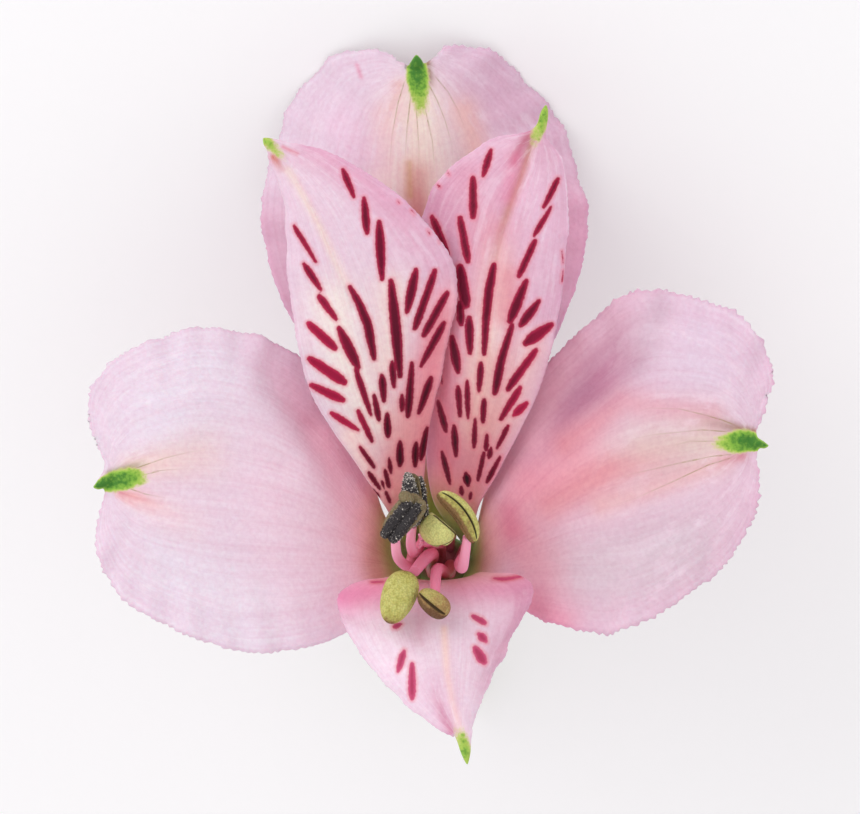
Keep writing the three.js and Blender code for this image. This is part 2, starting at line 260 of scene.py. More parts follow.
# %% The tepals' sections
SECTIONS = {
    "outer_tepal_top": [
        [(-1.4, 2.25, -1.15), (0, 2.6, -1.5), (1.5, 2.2, -1.15)],
        [(-3, 9.5, 2.5), (-0.2, 10, 1.2), (2.8, 9.5, 2.5)],
        [(-9, 16.5, 6), (-0.6, 18, 3.8), (7.5, 16.5, 6)],
        [(-16, 26.2, 6.5), (-1.1, 27, 5.6), (12.4, 24.8, 6.5)],
        [(-18.4, 36.6, 3.6), (-1.6, 36, 6.6), (14.9, 34.5, 3)],
        [(-15.6, 46.6, 1.6), (-2, 42.2, 7.2), (12.7, 44, 0.5)],
        [(-11.8, 51.4, 2.8), (-2.2, 45.2, 7.3), (9.6, 48.4, 1.4)],
        [(-7.2, 52.4, 5), (-2.3, 47.6, 7.2), (5.6, 52, 3.6)],
        [(-4.1, 51, 6.3), (-2.4, 49.6, 7), (1, 52.7, 5.6)],
        [(-3.4, 50.75, 6.6), (-2.5, 50.5, 6.9), (-1.6, 51, 6.5)],
        [(-3.05, 51.3, 7), (-2.6, 51.75, 7.3), (-2.1, 51.4, 7)],
    ],
    "outer_tepal_left": [
        [(-2.1, -2.1, 1.2), (-2.6, -1.3, 0.8), (-3.2, 0.5, -0.35)],
        [(-5.5, -2.2, 8), (-6.3, 1.6, 7.2), (-5.85, 4.85, 5)],
        [(-9, -6.3, 13.5), (-11.3, 5.8, 12.5), (-8.8, 13.8, 8.8)],
        [(-13.6, -7.9, 18), (-16.6, 8.2, 16.3), (-14.3, 20.9, 11)],
        [(-19.9, -8.1, 21), (-22.5, 9.3, 18.8), (-22.7, 23.8, 14)],
        [(-26.9, -5.6, 22), (-27, 9.3, 20), (-29.4, 22.2, 16.4)],
        [(-31.8, -2.4, 22.2), (-29.9, 9.1, 20.4), (-33.6, 19.6, 17.6)],
        [(-34, 2.6, 21.8), (-31.8, 8.8, 20.5), (-35, 15.2, 18.8)],
        [(-33.3, 7.4, 20.7), (-32.7, 8.6, 20.3), (-33.4, 10.4, 20)],
        [(-34.2, 7.7, 21), (-34.4, 8, 21.1), (-34.3, 8.3, 21)],
    ],
    "outer_tepal_right": [
        [(3.2, 0.5, -0.35), (2.6, -1.3, 0.8), (2.1, -2.1, 1.2)],
        [(4.2, 5.9, 5), (4.9, 1.2, 7.2), (4.6, -2.2, 8)],
        [(6.3, 14, 8.8), (9.2, 5, 12.5), (7.8, -4.2, 13.5)],
        [(11.4, 20.9, 11), (14.3, 8.4, 16), (11.2, -5.6, 17.5)],
        [(19, 27.2, 14), (20.1, 10.8, 18.5), (17.1, -6.2, 20.3)],
        [(26.4, 26.3, 16.2), (24.8, 11.9, 19.6), (23.4, -3, 21.6)],
        [(30.8, 23.7, 17.4), (27.4, 12.2, 20), (28.2, 1, 21.6)],
        [(32.7, 18.8, 18.6), (29.4, 12.3, 20.1), (31, 6.6, 21.2)],
        [(31.1, 13.6, 19.9), (30.5, 12.3, 20), (31.1, 11.3, 20.4)],
        [(32, 12.4, 20.7), (32.2, 12.1, 20.8), (32.1, 11.8, 20.7)],
    ],
    "inner_tepal_left": [
        [(-3.4, 0, -0.15), (-2.6, 1.3, -0.75), (-2.05, 2.1, -1.2)],
        [(-5.3, 4.9, 6), (-3.8, 5.2, 4.7), (-2, 5.9, 4.3)],
        [(-8.2, 9.5, 11.2), (-5.1, 11.5, 10), (-1.4, 13.4, 8.5)],
        [(-13.2, 17.6, 14.3), (-6.5, 20.1, 13.8), (0.3, 21.2, 12.5)],
        [(-15.2, 27.6, 15), (-8.7, 28.8, 16), (1.3, 29.6, 14.9)],
        [(-15.6, 35.4, 15.2), (-11.7, 35.6, 16.2), (-3.9, 36.6, 15.3)],
        [(-16.9, 39.6, 14.8), (-14.7, 39.7, 15.4), (-10.6, 41, 15.2)],
        [(-17.4, 41.2, 14.6), (-16.4, 41.5, 14.8), (-15, 42.3, 14.8)],
        [(-17.9, 42.5, 14.5), (-17.9, 42.8, 14.6), (-17.6, 42.9, 14.5)],
    ],
    "inner_tepal_right": [
        [(2.05, 2.1, -1.2), (2.6, 1.3, -0.75), (3.4, 0, -0.15)],
        [(-0.9, 6.6, 3.4), (1.3, 5.6, 4.2), (3.6, 5.2, 6)],
        [(-1.6, 13.4, 6.6), (2.6, 12, 9), (5.9, 9.7, 10.5)],
        [(-1.6, 21.6, 9.2), (4, 19.1, 12.8), (9.8, 17.9, 13.8)],
        [(-2.6, 30, 10.6), (5.2, 28.1, 15.1), (11.8, 26.4, 15)],
        [(-1, 37.6, 12.4), (7, 35.4, 15.5), (12.5, 34.6, 14.9)],
        [(4.4, 42.4, 14.4), (9, 40.2, 15), (12.1, 40.2, 14.5)],
        [(8.9, 43.6, 14.7), (9.8, 43, 14.8), (10.5, 42.9, 14.6)],
        [(10.1, 46, 15), (10.4, 46.1, 15.1), (10.7, 45.9, 15)],
    ],
    "inner_tepal_lip": [
        [(1.1, -2.6, 1.5), (0, -2.6, 1.5), (-1.1, -2.6, 1.5)],
        [(2.2, -1.9, 9), (0.1, -2.9, 9), (-2.2, -1.9, 9)],
        [(4.1, -0.7, 15.3), (0.3, -1.6, 16.6), (-5.5, -1.2, 15.3)],
        [(8.9, -1.6, 18), (0, -4.3, 21.8), (-10.2, -2.6, 18.2)],
        [(6.9, -6.6, 22.5), (0.3, -7.8, 26), (-8.9, -6.8, 22.5)],
        [(4.6, -10.6, 27), (0.7, -11.4, 29.6), (-5.2, -11.3, 27)],
        [(3.2, -13.7, 31.3), (1.4, -14.2, 32), (-0.6, -14.9, 31.3)],
        [(2.8, -15.5, 33), (1.9, -15.7, 33.3), (1.1, -15.6, 33)],
        [(2.6, -18, 34.5), (2.35, -18.2, 34.6), (2.05, -18, 34.5)],
    ],
}
print("sections per tepal:", {name: len(s) for name, s in SECTIONS.items()})

# %% [markdown]
# ## Rims, ruffles and folds
# A living tepal is never a perfect sheet. Its rim has small saw-teeth, pointing to the tip, and
# waves a little; soft folds run down from its shoulders into the throat. The teeth move rim
# points outwards in the surface, and ruffles and folds move points along the normal. Everything
# random comes from one seeded generator per tepal, so that each run gives the same flower.

# %% Rims, ruffles and folds
def distance_to_line(view, line):
    """Distance in millimetres from each view point to a drawn line, and the share of its way."""
    best, share = np.full(view.shape[:-1], 1e9), np.zeros(view.shape[:-1])
    line = np.array(line, float)
    if len(line) == 1:
        return np.linalg.norm(view - line[0], axis=-1), share
    for i, (start, end) in enumerate(zip(line, line[1:])):
        run = end - start
        h = np.clip((view - start) @ run / (run @ run), 0, 1)
        d = np.linalg.norm(view - start - h[..., None] * run, axis=-1)
        share = np.where(d < best, (i + h) / (len(line) - 1), share)
        best = np.minimum(best, d)
    return best, share


def along_line(values, share):
    """A value that runs evenly through the given ones, at shares of a line's way."""
    return np.interp(share, np.linspace(0, 1, np.size(values)), np.ravel(values))


def saw_teeth(length_along, spacing, height, random):
    """Height of irregular teeth at lengths along a rim, in millimetres."""
    steps = random.uniform(0.6, 1.4, int(length_along[-1] / spacing * 1.6) + 4) * spacing
    feet = np.cumsum(steps)
    peaks = feet + 0.66 * np.append(steps[1:], spacing)  # a tooth leans towards the tip
    where = np.column_stack([feet, peaks]).ravel()
    tall = height * random.uniform(0.25, 1, len(feet))
    return np.interp(length_along, where, np.column_stack([0 * tall, tall]).ravel())


def waves(length_along, random):
    """A gentle irregular wave along a rim, between about -1 and 1."""
    phases = random.uniform(0, 2 * math.pi, 3)
    turns = (2 * math.pi * length_along / wave_mm + phase for wave_mm, phase in zip((11, 6.5, 4), phases))
    return sum(np.sin(turn) / 2 for turn in turns)


RIM_FROM = 0.955  # share of the half width where the teeth begin
CLAW, BLADE, HORN = 0.22, 0.42, 0.89  # shares of the length: rims wave from the claw to the horn


def shape_tepal(points, teeth, ruffle, folds, random):
    """Moves a grid of skin points to the tepal's living shape, and gives each rim distance."""
    lengthwise, normal = directions(points)
    outwards = unit(np.cross(lengthwise, normal))
    across = np.linspace(-1, 1, points.shape[1])
    moved = points.copy()
    along = np.linspace(0, 1, len(points))
    spread = np.clip((along - CLAW) / (BLADE - CLAW), 0, 1) * np.clip((HORN - along) / 0.05, 0, 1)
    rim = np.full(points.shape[:2], 1e9)
    for side, edge in ((-1, 0), (1, -1)):
        steps = np.linalg.norm(np.diff(points[:, edge], axis=0), axis=1)
        length_along = np.concatenate([[0], np.cumsum(steps)])
        tooth = saw_teeth(length_along, teeth[0], teeth[1], random)
        tooth = tooth + 0.3 * teeth[1] * waves(1.7 * length_along, random)
        near_rim = np.clip((side * across - RIM_FROM) / (1 - RIM_FROM), 0, 1) ** 1.5
        moved += side * outwards[:, [edge]] * ((tooth * spread)[:, None] * near_rim)[..., None]
        wave = ruffle * waves(length_along, random) * spread
        lift = wave[:, None] * np.clip(side * across, 0, 1) ** 4
        moved += normal * lift[..., None]
        rim = np.minimum(rim, np.linalg.norm(points - points[:, [edge]], axis=-1))
    view = in_view(points)
    for depths, width, *line in folds:
        d, share = distance_to_line(view, line)
        moved -= normal * (along_line(depths, share) * np.exp(-((d / width) ** 2)))[..., None]
    return moved, rim


print("rims and folds are ready")

# %% [markdown]
# ## Painting strokes
# Petal colour changes slowly over the blade and quickly at marks. The slow part is painted like
# watercolour: each stroke is a drawn line in the view with a soft radius, a colour and a
# strength, laid over the last. The result is a colour at each vertex, which the material reads.
# Marks need crisp edges, so they are stored as a distance to the mark's outline, and the
# material decides where the edge falls, with a little raggedness of its own.

# %% Painting strokes
def paint(view, base, strokes):
    """A linear colour at each view point: the base, then each stroke laid over it."""
    tint = np.broadcast_to(linear(base), view.shape[:-1] + (4,)).copy()
    for color, strengths, radii, *line in strokes:
        d, share = distance_to_line(view, line)
        cover = (along_line(strengths, share) * np.exp(-((d / along_line(radii, share)) ** 2)))[..., None]
        tint += cover * (np.array(linear(color)) - tint)
    return tint


def horn_mask(view, strengths, radii, line):
    """How green each view point is: full in the horn's heart, fading at its sides and its foot."""
    d, share = distance_to_line(view, line)
    return along_line(strengths, share) * np.exp(-((d / along_line(radii, share)) ** 3))


FAR_MM = 9.0  # a distance well outside every streak


def streak_distance(view, streaks):
    """Millimetres outside the nearest streak's outline; it is negative inside."""
    best = np.full(view.shape[:-1], FAR_MM)
    for width, *line in streaks:
        d, share = distance_to_line(view, line)
        uneven = 1 + 0.1 * np.sin(4.5 * share + 5 * line[0][0])  # wider here, narrower there
        pointed = 1 - 0.4 * np.abs(2 * share - 1) ** 3  # narrower towards both ends
        half = 0.59 * width * uneven * pointed
        best = np.minimum(best, d - half)
    return best


def signed_distance(view, line):
    """Millimetres to a drawn line, positive on its left for someone who walks along it."""
    line = np.array(line, float)
    nearest, signed = np.full(view.shape[:-1], 1e9), np.zeros(view.shape[:-1])
    for start, end in zip(line, line[1:]):
        run = end - start
        h = np.clip((view - start) @ run / (run @ run), 0, 1)
        away = view - start - h[..., None] * run
        d = np.linalg.norm(away, axis=-1)
        side = np.sign(away @ np.array([-run[1], run[0]]))
        signed = np.where(d < nearest, d * side, signed)
        nearest = np.minimum(nearest, d)
    return signed


print("brushes are ready")

# %% [markdown]
# ## Where the colour goes
# The outer tepals are pale lilac pink with whiter patches, a deeper blush towards the throat and shaded
# valleys where they fold. Many darker pinks and browns are painted shade: along the folds, where a blade
# turns away from the lamp, in crevices between tepals and deep in the claws. A few pale strokes are painted
# light that lifts shadow in such places, and one thin white line is a painted highlight on a rolled rim.
# The inner ones have a cream heart under their streaks. A stroke is its colour, strength and radius in
# millimetres, then the points of its line in the view, counted from the ovary top. Where a strength or
# radius changes, it is a list along the line.

# %% Where the colour goes
BASE_TINT = {
    "outer_tepal_top": "#E2D0DD",
    "outer_tepal_left": "#E5D6E1",
    "outer_tepal_right": "#E0C6D4",
    "inner_tepal_left": "#E6D2DE",
    "inner_tepal_right": "#DEB6CA",
    "inner_tepal_lip": "#E8D6E1",
}
STROKES = {
    "outer_tepal_top": [
        # Painted shade, with some real deeper pink: the first three strokes darken the right lobe where it
        # turns away from the lamp, its right edge, and the left shoulder beside the left inner tepal's
        # edge.
        ("#D8ACC3", (0.65, 0.9), 6, (5, 47), (10.5, 41), (13.5, 34)),
        ("#E4B2C8", 0.8, 3.5, (14, 36), (13.5, 26)),
        ("#D8B0C3", 0.8, 3.5, (-17.5, 34), (-15.5, 24)),
        ("#F3E5D8", 0.95, (3, 5), (-2.4, 46), (-2.4, 38)),
        ("#F1D0CC", 0.6, 1.6, (-5.6, 45), (-6.4, 39), (-6.4, 36)),
        ("#F0C4B8", 0.65, 1.5, (2.2, 45.5), (3.4, 42), (3.6, 39)),
        # Painted shade: brownish pink at the foot of the cream fan, in the hollow between the inner tepals.
        ("#CC6C6A", (0.5, 0.95), 1.6, (-2.6, 39), (-2.6, 33)),
        ("#C9A15F", 0.5, 0.35, (-3.3, 40.3), (-3.2, 37)),
        ("#8A6A34", (0.85, 0.65, 0), (0.45, 0.5, 0.4), (-1.5, 50.3), (-1.3, 48.8), (-1, 47)),
        ("#E4B9B4", (0.7, 0.2), 0.7, (-4.3, 48), (-5.6, 45)),
        ("#F0D3E4", 0.7, 2.5, (-10, 44), (-8, 41)),
        ("#D97FA0", 0.55, 0.22, (-8.5, 50.1), (-8.1, 48.9)),
    ],
    "outer_tepal_left": [
        ("#E6E0E9", 0.9, 6.5, (-24.5, 18.6), (-27, 16)),
        ("#E6E1E9", 0.85, 5, (-27, 0), (-20, -5)),
        # Painted light: lightens the blade right of its centre, where its curve falls into shade.
        ("#F4E0EA", 0.85, 6, (-15, 8), (-12, -2)),
        # Painted shade, with some real deeper pink: the plane beyond the fold that turns away from the
        # lamp, then the fold's valley.
        ("#DFB2C5", (0.3, 0.75, 0.9), (3, 2.6), (-17, 24), (-13, 18), (-8.5, 11.5), (-6.5, 8)),
        ("#DC90AC", (0, 0.2, 0.5, 0.5, 0.1), (2, 1.5),
         (-20.5, 22.6), (-16.9, 18.9), (-13.6, 14.4), (-10.3, 9.8), (-8, 6)),
        # Painted light: lifts the shade on the blush towards the throat.
        ("#FFCEDA", (0.85, 0.75), 3.2, (-7.8, 5), (-7.6, -3)),
        # Painted shade: brown inside the shaded claw.
        ("#A86A50", 0.7, 1.2, (-6.4, 2), (-6.7, 0), (-6.4, -1.2)),
        # Painted light: lifts the left inner tepal's shadow from the foot of the fold.
        ("#FFD0DE", (0.75, 0.6), (1.6, 1.8), (-11.8, 12.8), (-9.8, 7.8), (-8.4, 4.6)),
        ("#EBD2C9", (0.9, 0.5), (1.3, 2.6), (-31, 9.8), (-24, 11.2)),
        ("#F2D3D2", (0.9, 0.2), (1, 2), (-31, 7), (-25, 4.2)),
        ("#87874A", (0.9, 0.8, 0), (0.4, 0.45), (-33.2, 9.2), (-31.4, 9.75), (-29.2, 10.4)),
        ("#D97476", (0.7, 0.35, 0), (0.3, 0.4), (-32.6, 7.5), (-30.6, 6.9), (-27.6, 5.9)),
        ("#E8A09C", (0.6, 0), 0.25, (-32.4, 7), (-30, 5.6)),
    ],
    "outer_tepal_right": [
        ("#DFD3E0", 0.8, 6, (26, 21.5), (26, 17)),
        # Painted shade, with some real deeper pink: the next four strokes darken the plane between the fold
        # and the right inner tepal, the fold's greyish top, its valley and its core.
        ("#CDA0B1", (0.5, 0.9), 3.6, (16, 25), (11, 17)),
        ("#CDB9C6", 0.7, 1.6, (21.8, 26), (19.4, 20.6)),
        ("#A86083", (0, 0.4, 0.7, 0.68, 0.4), (2.6, 2.6, 2.4),
         (20.2, 25.4), (17.6, 21), (15, 17.6), (12, 14.6), (8.8, 10.5)),
        ("#C06A90", 0.25, 1.6, (18.5, 21), (16.2, 18.6)),
        # Painted light: lifts the shadow beside the right inner tepal's edge.
        ("#F4C4D2", 0.65, 1.8, (12.4, 23), (10.4, 17.5), (8.8, 13)),
        ("#EDA4B4", 0.8, 3.6, (8.5, 8), (14, 9.5)),
        ("#E09AAA", 0.8, 3.4, (7.4, 2.6), (11, -0.5)),
        ("#DCCBC2", (0.2, 0.8, 0.9), 3, (15.5, 9.6), (20, 11.6), (26, 12.6)),
        ("#DE98A3", (0.85, 0.5, 0.4), 1.5, (12.4, 12.2), (18, 16.4), (27, 15.4)),
        ("#DE979D", (0.7, 0.7, 0.2), 1.7, (11, 6.2), (17, 9.6), (23, 10.6)),
        ("#E5B5B2", (0.7, 0.4), 1.2, (16, 6), (22, 8), (28, 10.4)),
        ("#D3C6CE", 0.85, 4.8, (15, -0.6), (24, 1.4)),
        ("#94683A", (0.9, 0.7, 0.35, 0), (0.4, 0.6, 0.6),
         (31.2, 13.4), (29.4, 13.8), (27.8, 14.2), (25, 14.9)),
        ("#D07F8A", (0.7, 0), 0.6, (30, 11), (27, 10.2)),
        ("#E29EB2", 0.85, 2.2, (9, -3.8), (11.5, -5.7)),
        ("#D86E8C", 0.5, 1.3, (6.6, 5.4), (6.9, 3.8)),
    ],
    "inner_tepal_left": [
        ("#DFA9C2", 0.75, (1.6, 2.6), (-13, 41.6), (-8, 38.6), (-4, 35.4)),
        # Partly painted shade: pink where the right margin curves back into the valley between the inner
        # tepals.
        ("#DFAEC5", 0.7, 3, (-2, 32), (1.5, 27)),
        ("#F1E0D6", 0.8, 0.45, (-15.4, 39.6), (-12.3, 34), (-9.5, 28)),
        ("#F5EDE4", 0.95, 2.8, (-10.9, 26), (-9.4, 19), (-6.6, 14.6)),
        ("#F5E3DA", 0.85, 2, (-4.9, 27.5), (-5.4, 20)),
        # Painted shade and real pink, the next two strokes: the crevice between the inner tepals along this
        # margin.
        ("#F7A2AA", (0.75, 0.85, 0.9), 2.3, (1, 26), (-1, 18), (-1.4, 11)),
        ("#E07E8C", (0, 0.5, 0.45, 0), 1.3, (0.4, 27), (-0.8, 23.5), (-1.6, 20), (-2.4, 16)),
        ("#EFA5A0", (0.5, 0.85), 2.2, (-3.2, 16), (-5, 8)),
        # Painted light: lifts the shade on the claw's lower left.
        ("#FFE4DC", 0.9, 1.4, (-9, 13), (-6.2, 6.6)),
        ("#CC7058", (0.9, 0.3), 0.45, (-16.8, 40.9), (-16.1, 39.8)),
        ("#DB7E8E", 0.6, 0.22, (-15.9, 41.9), (-14.5, 41.2)),
    ],
    "inner_tepal_right": [
        ("#D39CB4", 0.7, 2.2, (-1, 37), (1, 31)),
        ("#E6C4D6", 0.8, 2.4, (9.4, 38), (11.5, 31)),
        ("#E9CBDA", 0.7, 1.2, (6.4, 42.4), (3.2, 41.4)),
        ("#CB9585", (0.8, 0.8, 0.4), 0.45,
         (9.1, 42.8), (7.9, 39), (7, 36.6), (5.9, 33.6), (5, 29.5), (4.6, 26)),
        ("#F3E2D6", (0.5, 0.95, 0.9), (1.6, 2.2), (5.6, 31), (4.4, 23), (3.2, 14)),
        ("#EFCFCC", 0.8, 2, (9, 22), (6.5, 15)),
        ("#E08F97", 0.6, 1.4, (6.6, 29), (6.4, 25)),
        ("#DD9FB4", 0.45, 2, (2.6, 39), (3.6, 33.5)),
        ("#E2A3AA", 0.45, 2, (5.4, 33.5), (4.2, 26)),
        ("#DD9A92", 0.5, 2.6, (4.8, 20), (4.6, 12)),
        # Painted shade: dark pink in the valley where the left inner tepal overlaps this one.
        ("#D06E80", 0.85, 1.8, (0.2, 26), (0, 14), (0.2, 8)),
        ("#D8888A", (0.3, 0.85), 2.6, (3.2, 14), (3, 8)),
        ("#A9696A", 0.8, 1, (2.2, 7.2), (3.2, 5.6)),
        # Painted shade: a brownish pink shade line beside the horn.
        ("#C06A80", 0.75, 0.5, (9, 43.6), (7.9, 42), (7.2, 40.4)),
        ("#E389A8", 0.5, 1, (7.4, 40.6), (6.6, 37)),
        # Painted highlight: a thin white line where the rolled right rim catches the lamp.
        ("#F6E2EE", 0.8, 0.2, (11.5, 41.9), (12.3, 40.1), (12.55, 37.6), (12.8, 33.1)),
    ],
    "inner_tepal_lip": [
        # Painted light: lifts the shadow that the anthers above cast on the lip.
        ("#F5E4EE", 0.8, 3, (-5, -9), (-3, -6)),
        ("#E488AE", (0.85, 0.85), 2.2, (-10, -3), (-4, -1.6)),
        ("#DF8CB0", (0.6, 0.85), 1.8, (2, -2.2), (9, -2)),
        ("#D09AB2", (0.9, 0.5), (2.1, 1.5), (8.9, -3.4), (6, -8.6), (4.8, -12)),
        ("#F5DCD2", 0.85, 0.4, (0.2, -6.3), (0.5, -10.8), (1, -13.6), (1.7, -16.2)),
        # Painted shade: the soft fold below the anthers.
        ("#D9A5BE", (0.2, 0.5, 0.1), 0.9, (-2, -4.6), (-2.2, -6.4), (-2.6, -8.4)),
        # Painted shade, the next two strokes: a soft band and the dark pink valley of the crease towards
        # the tip.
        ("#DDB6CB", 0.5, 1.6, (-0.6, -11.6), (0.4, -15)),
        ("#CB7398", (0.2, 0.8), 0.5, (-0.7, -12.6), (0.1, -15), (0.9, -16.6)),
        ("#A80038", (0.3, 1, 1, 0.5), 0.26, (4.9, -1.25), (6, -1.32), (7.2, -1.18), (8.2, -0.95)),
        ("#A80A40", (0.4, 1, 0.6), 0.2, (-7.2, -1.6), (-6.4, -1.62), (-5.6, -1.5)),
    ],
}
# The deep throat, from the ovary out: green, brown, then salmon. The green is the claws' own, the brown
# partly painted shade; all are kept light, painted light that lifts the deep shadow there. Millimetres and
# colour.
THROAT = [(0, "#7F8E44"), (6, "#9CB052"), (8, "#B0A062"), (10, "#D29A86"), (12, "#ECACA6"), (16, "#F4B4BA")]
THROAT_SHIFT_MM = {  # how much further out a tepal's throat colours lie
    "inner_tepal_lip": 6, "outer_tepal_left": 0.8, "outer_tepal_right": -1.7, "inner_tepal_right": -1.4}
print("strokes:", sum(len(s) for s in STROKES.values()))

# %% [markdown]
# ## Green horns and long veins
# Every outer tepal ends in a fleshy horn: a dark green heart with a lime fringe, from which fine brownish
# veins fan down into the blade. The inner ones have a small paler horn. Both are drawn as lines, because
# each horn has its own length and lean.

# %% Green horns and long veins
GREEN = {  # strengths, and radii in millimetres, along a line that runs down from the horn's tip
    "outer_tepal_top": (
        (1.3, 1.25, 1.2, 0.9, 0.5, 0.35, 0.1), (0.6, 0.9, 1, 1.05, 1, 0.9, 0.7),
        ((-2.6, 50.9), (-2.4, 48.2), (-2, 44.4))),
    "outer_tepal_left": (
        (1.3, 1.25, 1.15, 1.05, 0.8, 0.5, 0.15), (0.42, 0.7, 0.9, 1, 1.05, 0.95, 0.7),
        ((-34.6, 7.9), (-33, 8.4), (-31.2, 8.8), (-29.2, 8.9))),
    "outer_tepal_right": (
        (1.2, 1.3, 1.2, 1, 0.58, 0.35, 0.1), (0.5, 0.8, 1, 1.1, 1.1, 0.9, 0.7),
        ((32.2, 12.1), (30.6, 12.5), (28.6, 12.4), (26.6, 12.3))),
    "inner_tepal_left": (
        (0.5, 0.5, 0.3, 0), (0.6, 0.65, 0.5), ((-17.9, 42.8), (-16.8, 41.8), (-14.9, 39.9))),
    "inner_tepal_right": ((0.5, 0.6, 0.4, 0), (0.9, 0.85, 0.5), ((10.3, 45.9), (9.9, 44.2), (8.6, 41))),
    "inner_tepal_lip": ((0.46, 0.6, 0.4, 0), (0.9, 0.9, 0.7), ((2.5, -19.6), (2.1, -18), (1.4, -15.2))),
}
# The longer veins below a horn, drawn from the horn into the blade, and from one side to the other.
VEINS = {
    "outer_tepal_top": [
        ((-3.7, 48.6), (-4.4, 46.3), (-5, 43.1), (-5.4, 37.6)),
        ((-3.1, 47.1), (-3.5, 43.6), (-3.8, 39)),
        ((-2.7, 47.6), (-2.5, 44.6), (-2.3, 41.6), (-2.4, 37.1)),
        ((-1.9, 46.6), (-1, 42.6), (-0.6, 38)),
        ((-1.4, 48.3), (-0.5, 46.6), (0.3, 44.6), (1, 42.1), (1.2, 39)),
        ((-0.8, 49.1), (0.6, 47.4), (1.6, 45.6), (3, 41.6)),
    ],
    "outer_tepal_left": [
        ((-32, 8), (-29.7, 7.2), (-26.5, 6.6)),
        ((-31, 8.9), (-28, 9.6), (-24.5, 9.9)),
        ((-32.6, 9.1), (-29.7, 10.1), (-27.7, 10.8), (-25.2, 11.4), (-20, 12.2)),
    ],
    "outer_tepal_right": [
        ((29.6, 14), (28, 14.6), (26.3, 15.1), (23.8, 15.7), (20.8, 15.8), (16.5, 14.6)),
        ((29, 13.4), (26, 13.6), (22, 13.2), (17, 12.4)),
        ((28.6, 12.2), (27, 12.5), (24.8, 12.5), (21, 11.6)),
        ((29.6, 11.2), (26.8, 10.9), (23.4, 10.2), (19, 9.2), (14.5, 7.6)),
        ((29.2, 10.9), (26.6, 10.1), (23, 8.4), (19.4, 6.8), (14, 5)),
    ],
}
print("long veins:", sum(len(v) for v in VEINS.values()))

# %% [markdown]
# ## Crimson streaks
# The streaks that guide insects to the nectar stand in rows that follow the veins: long dashes
# up the blade, shorter and closer towards the throat. No pattern repeats them, so each one is
# drawn: its width, then its line. A soft mask marks the brighter dashes beside the blades.

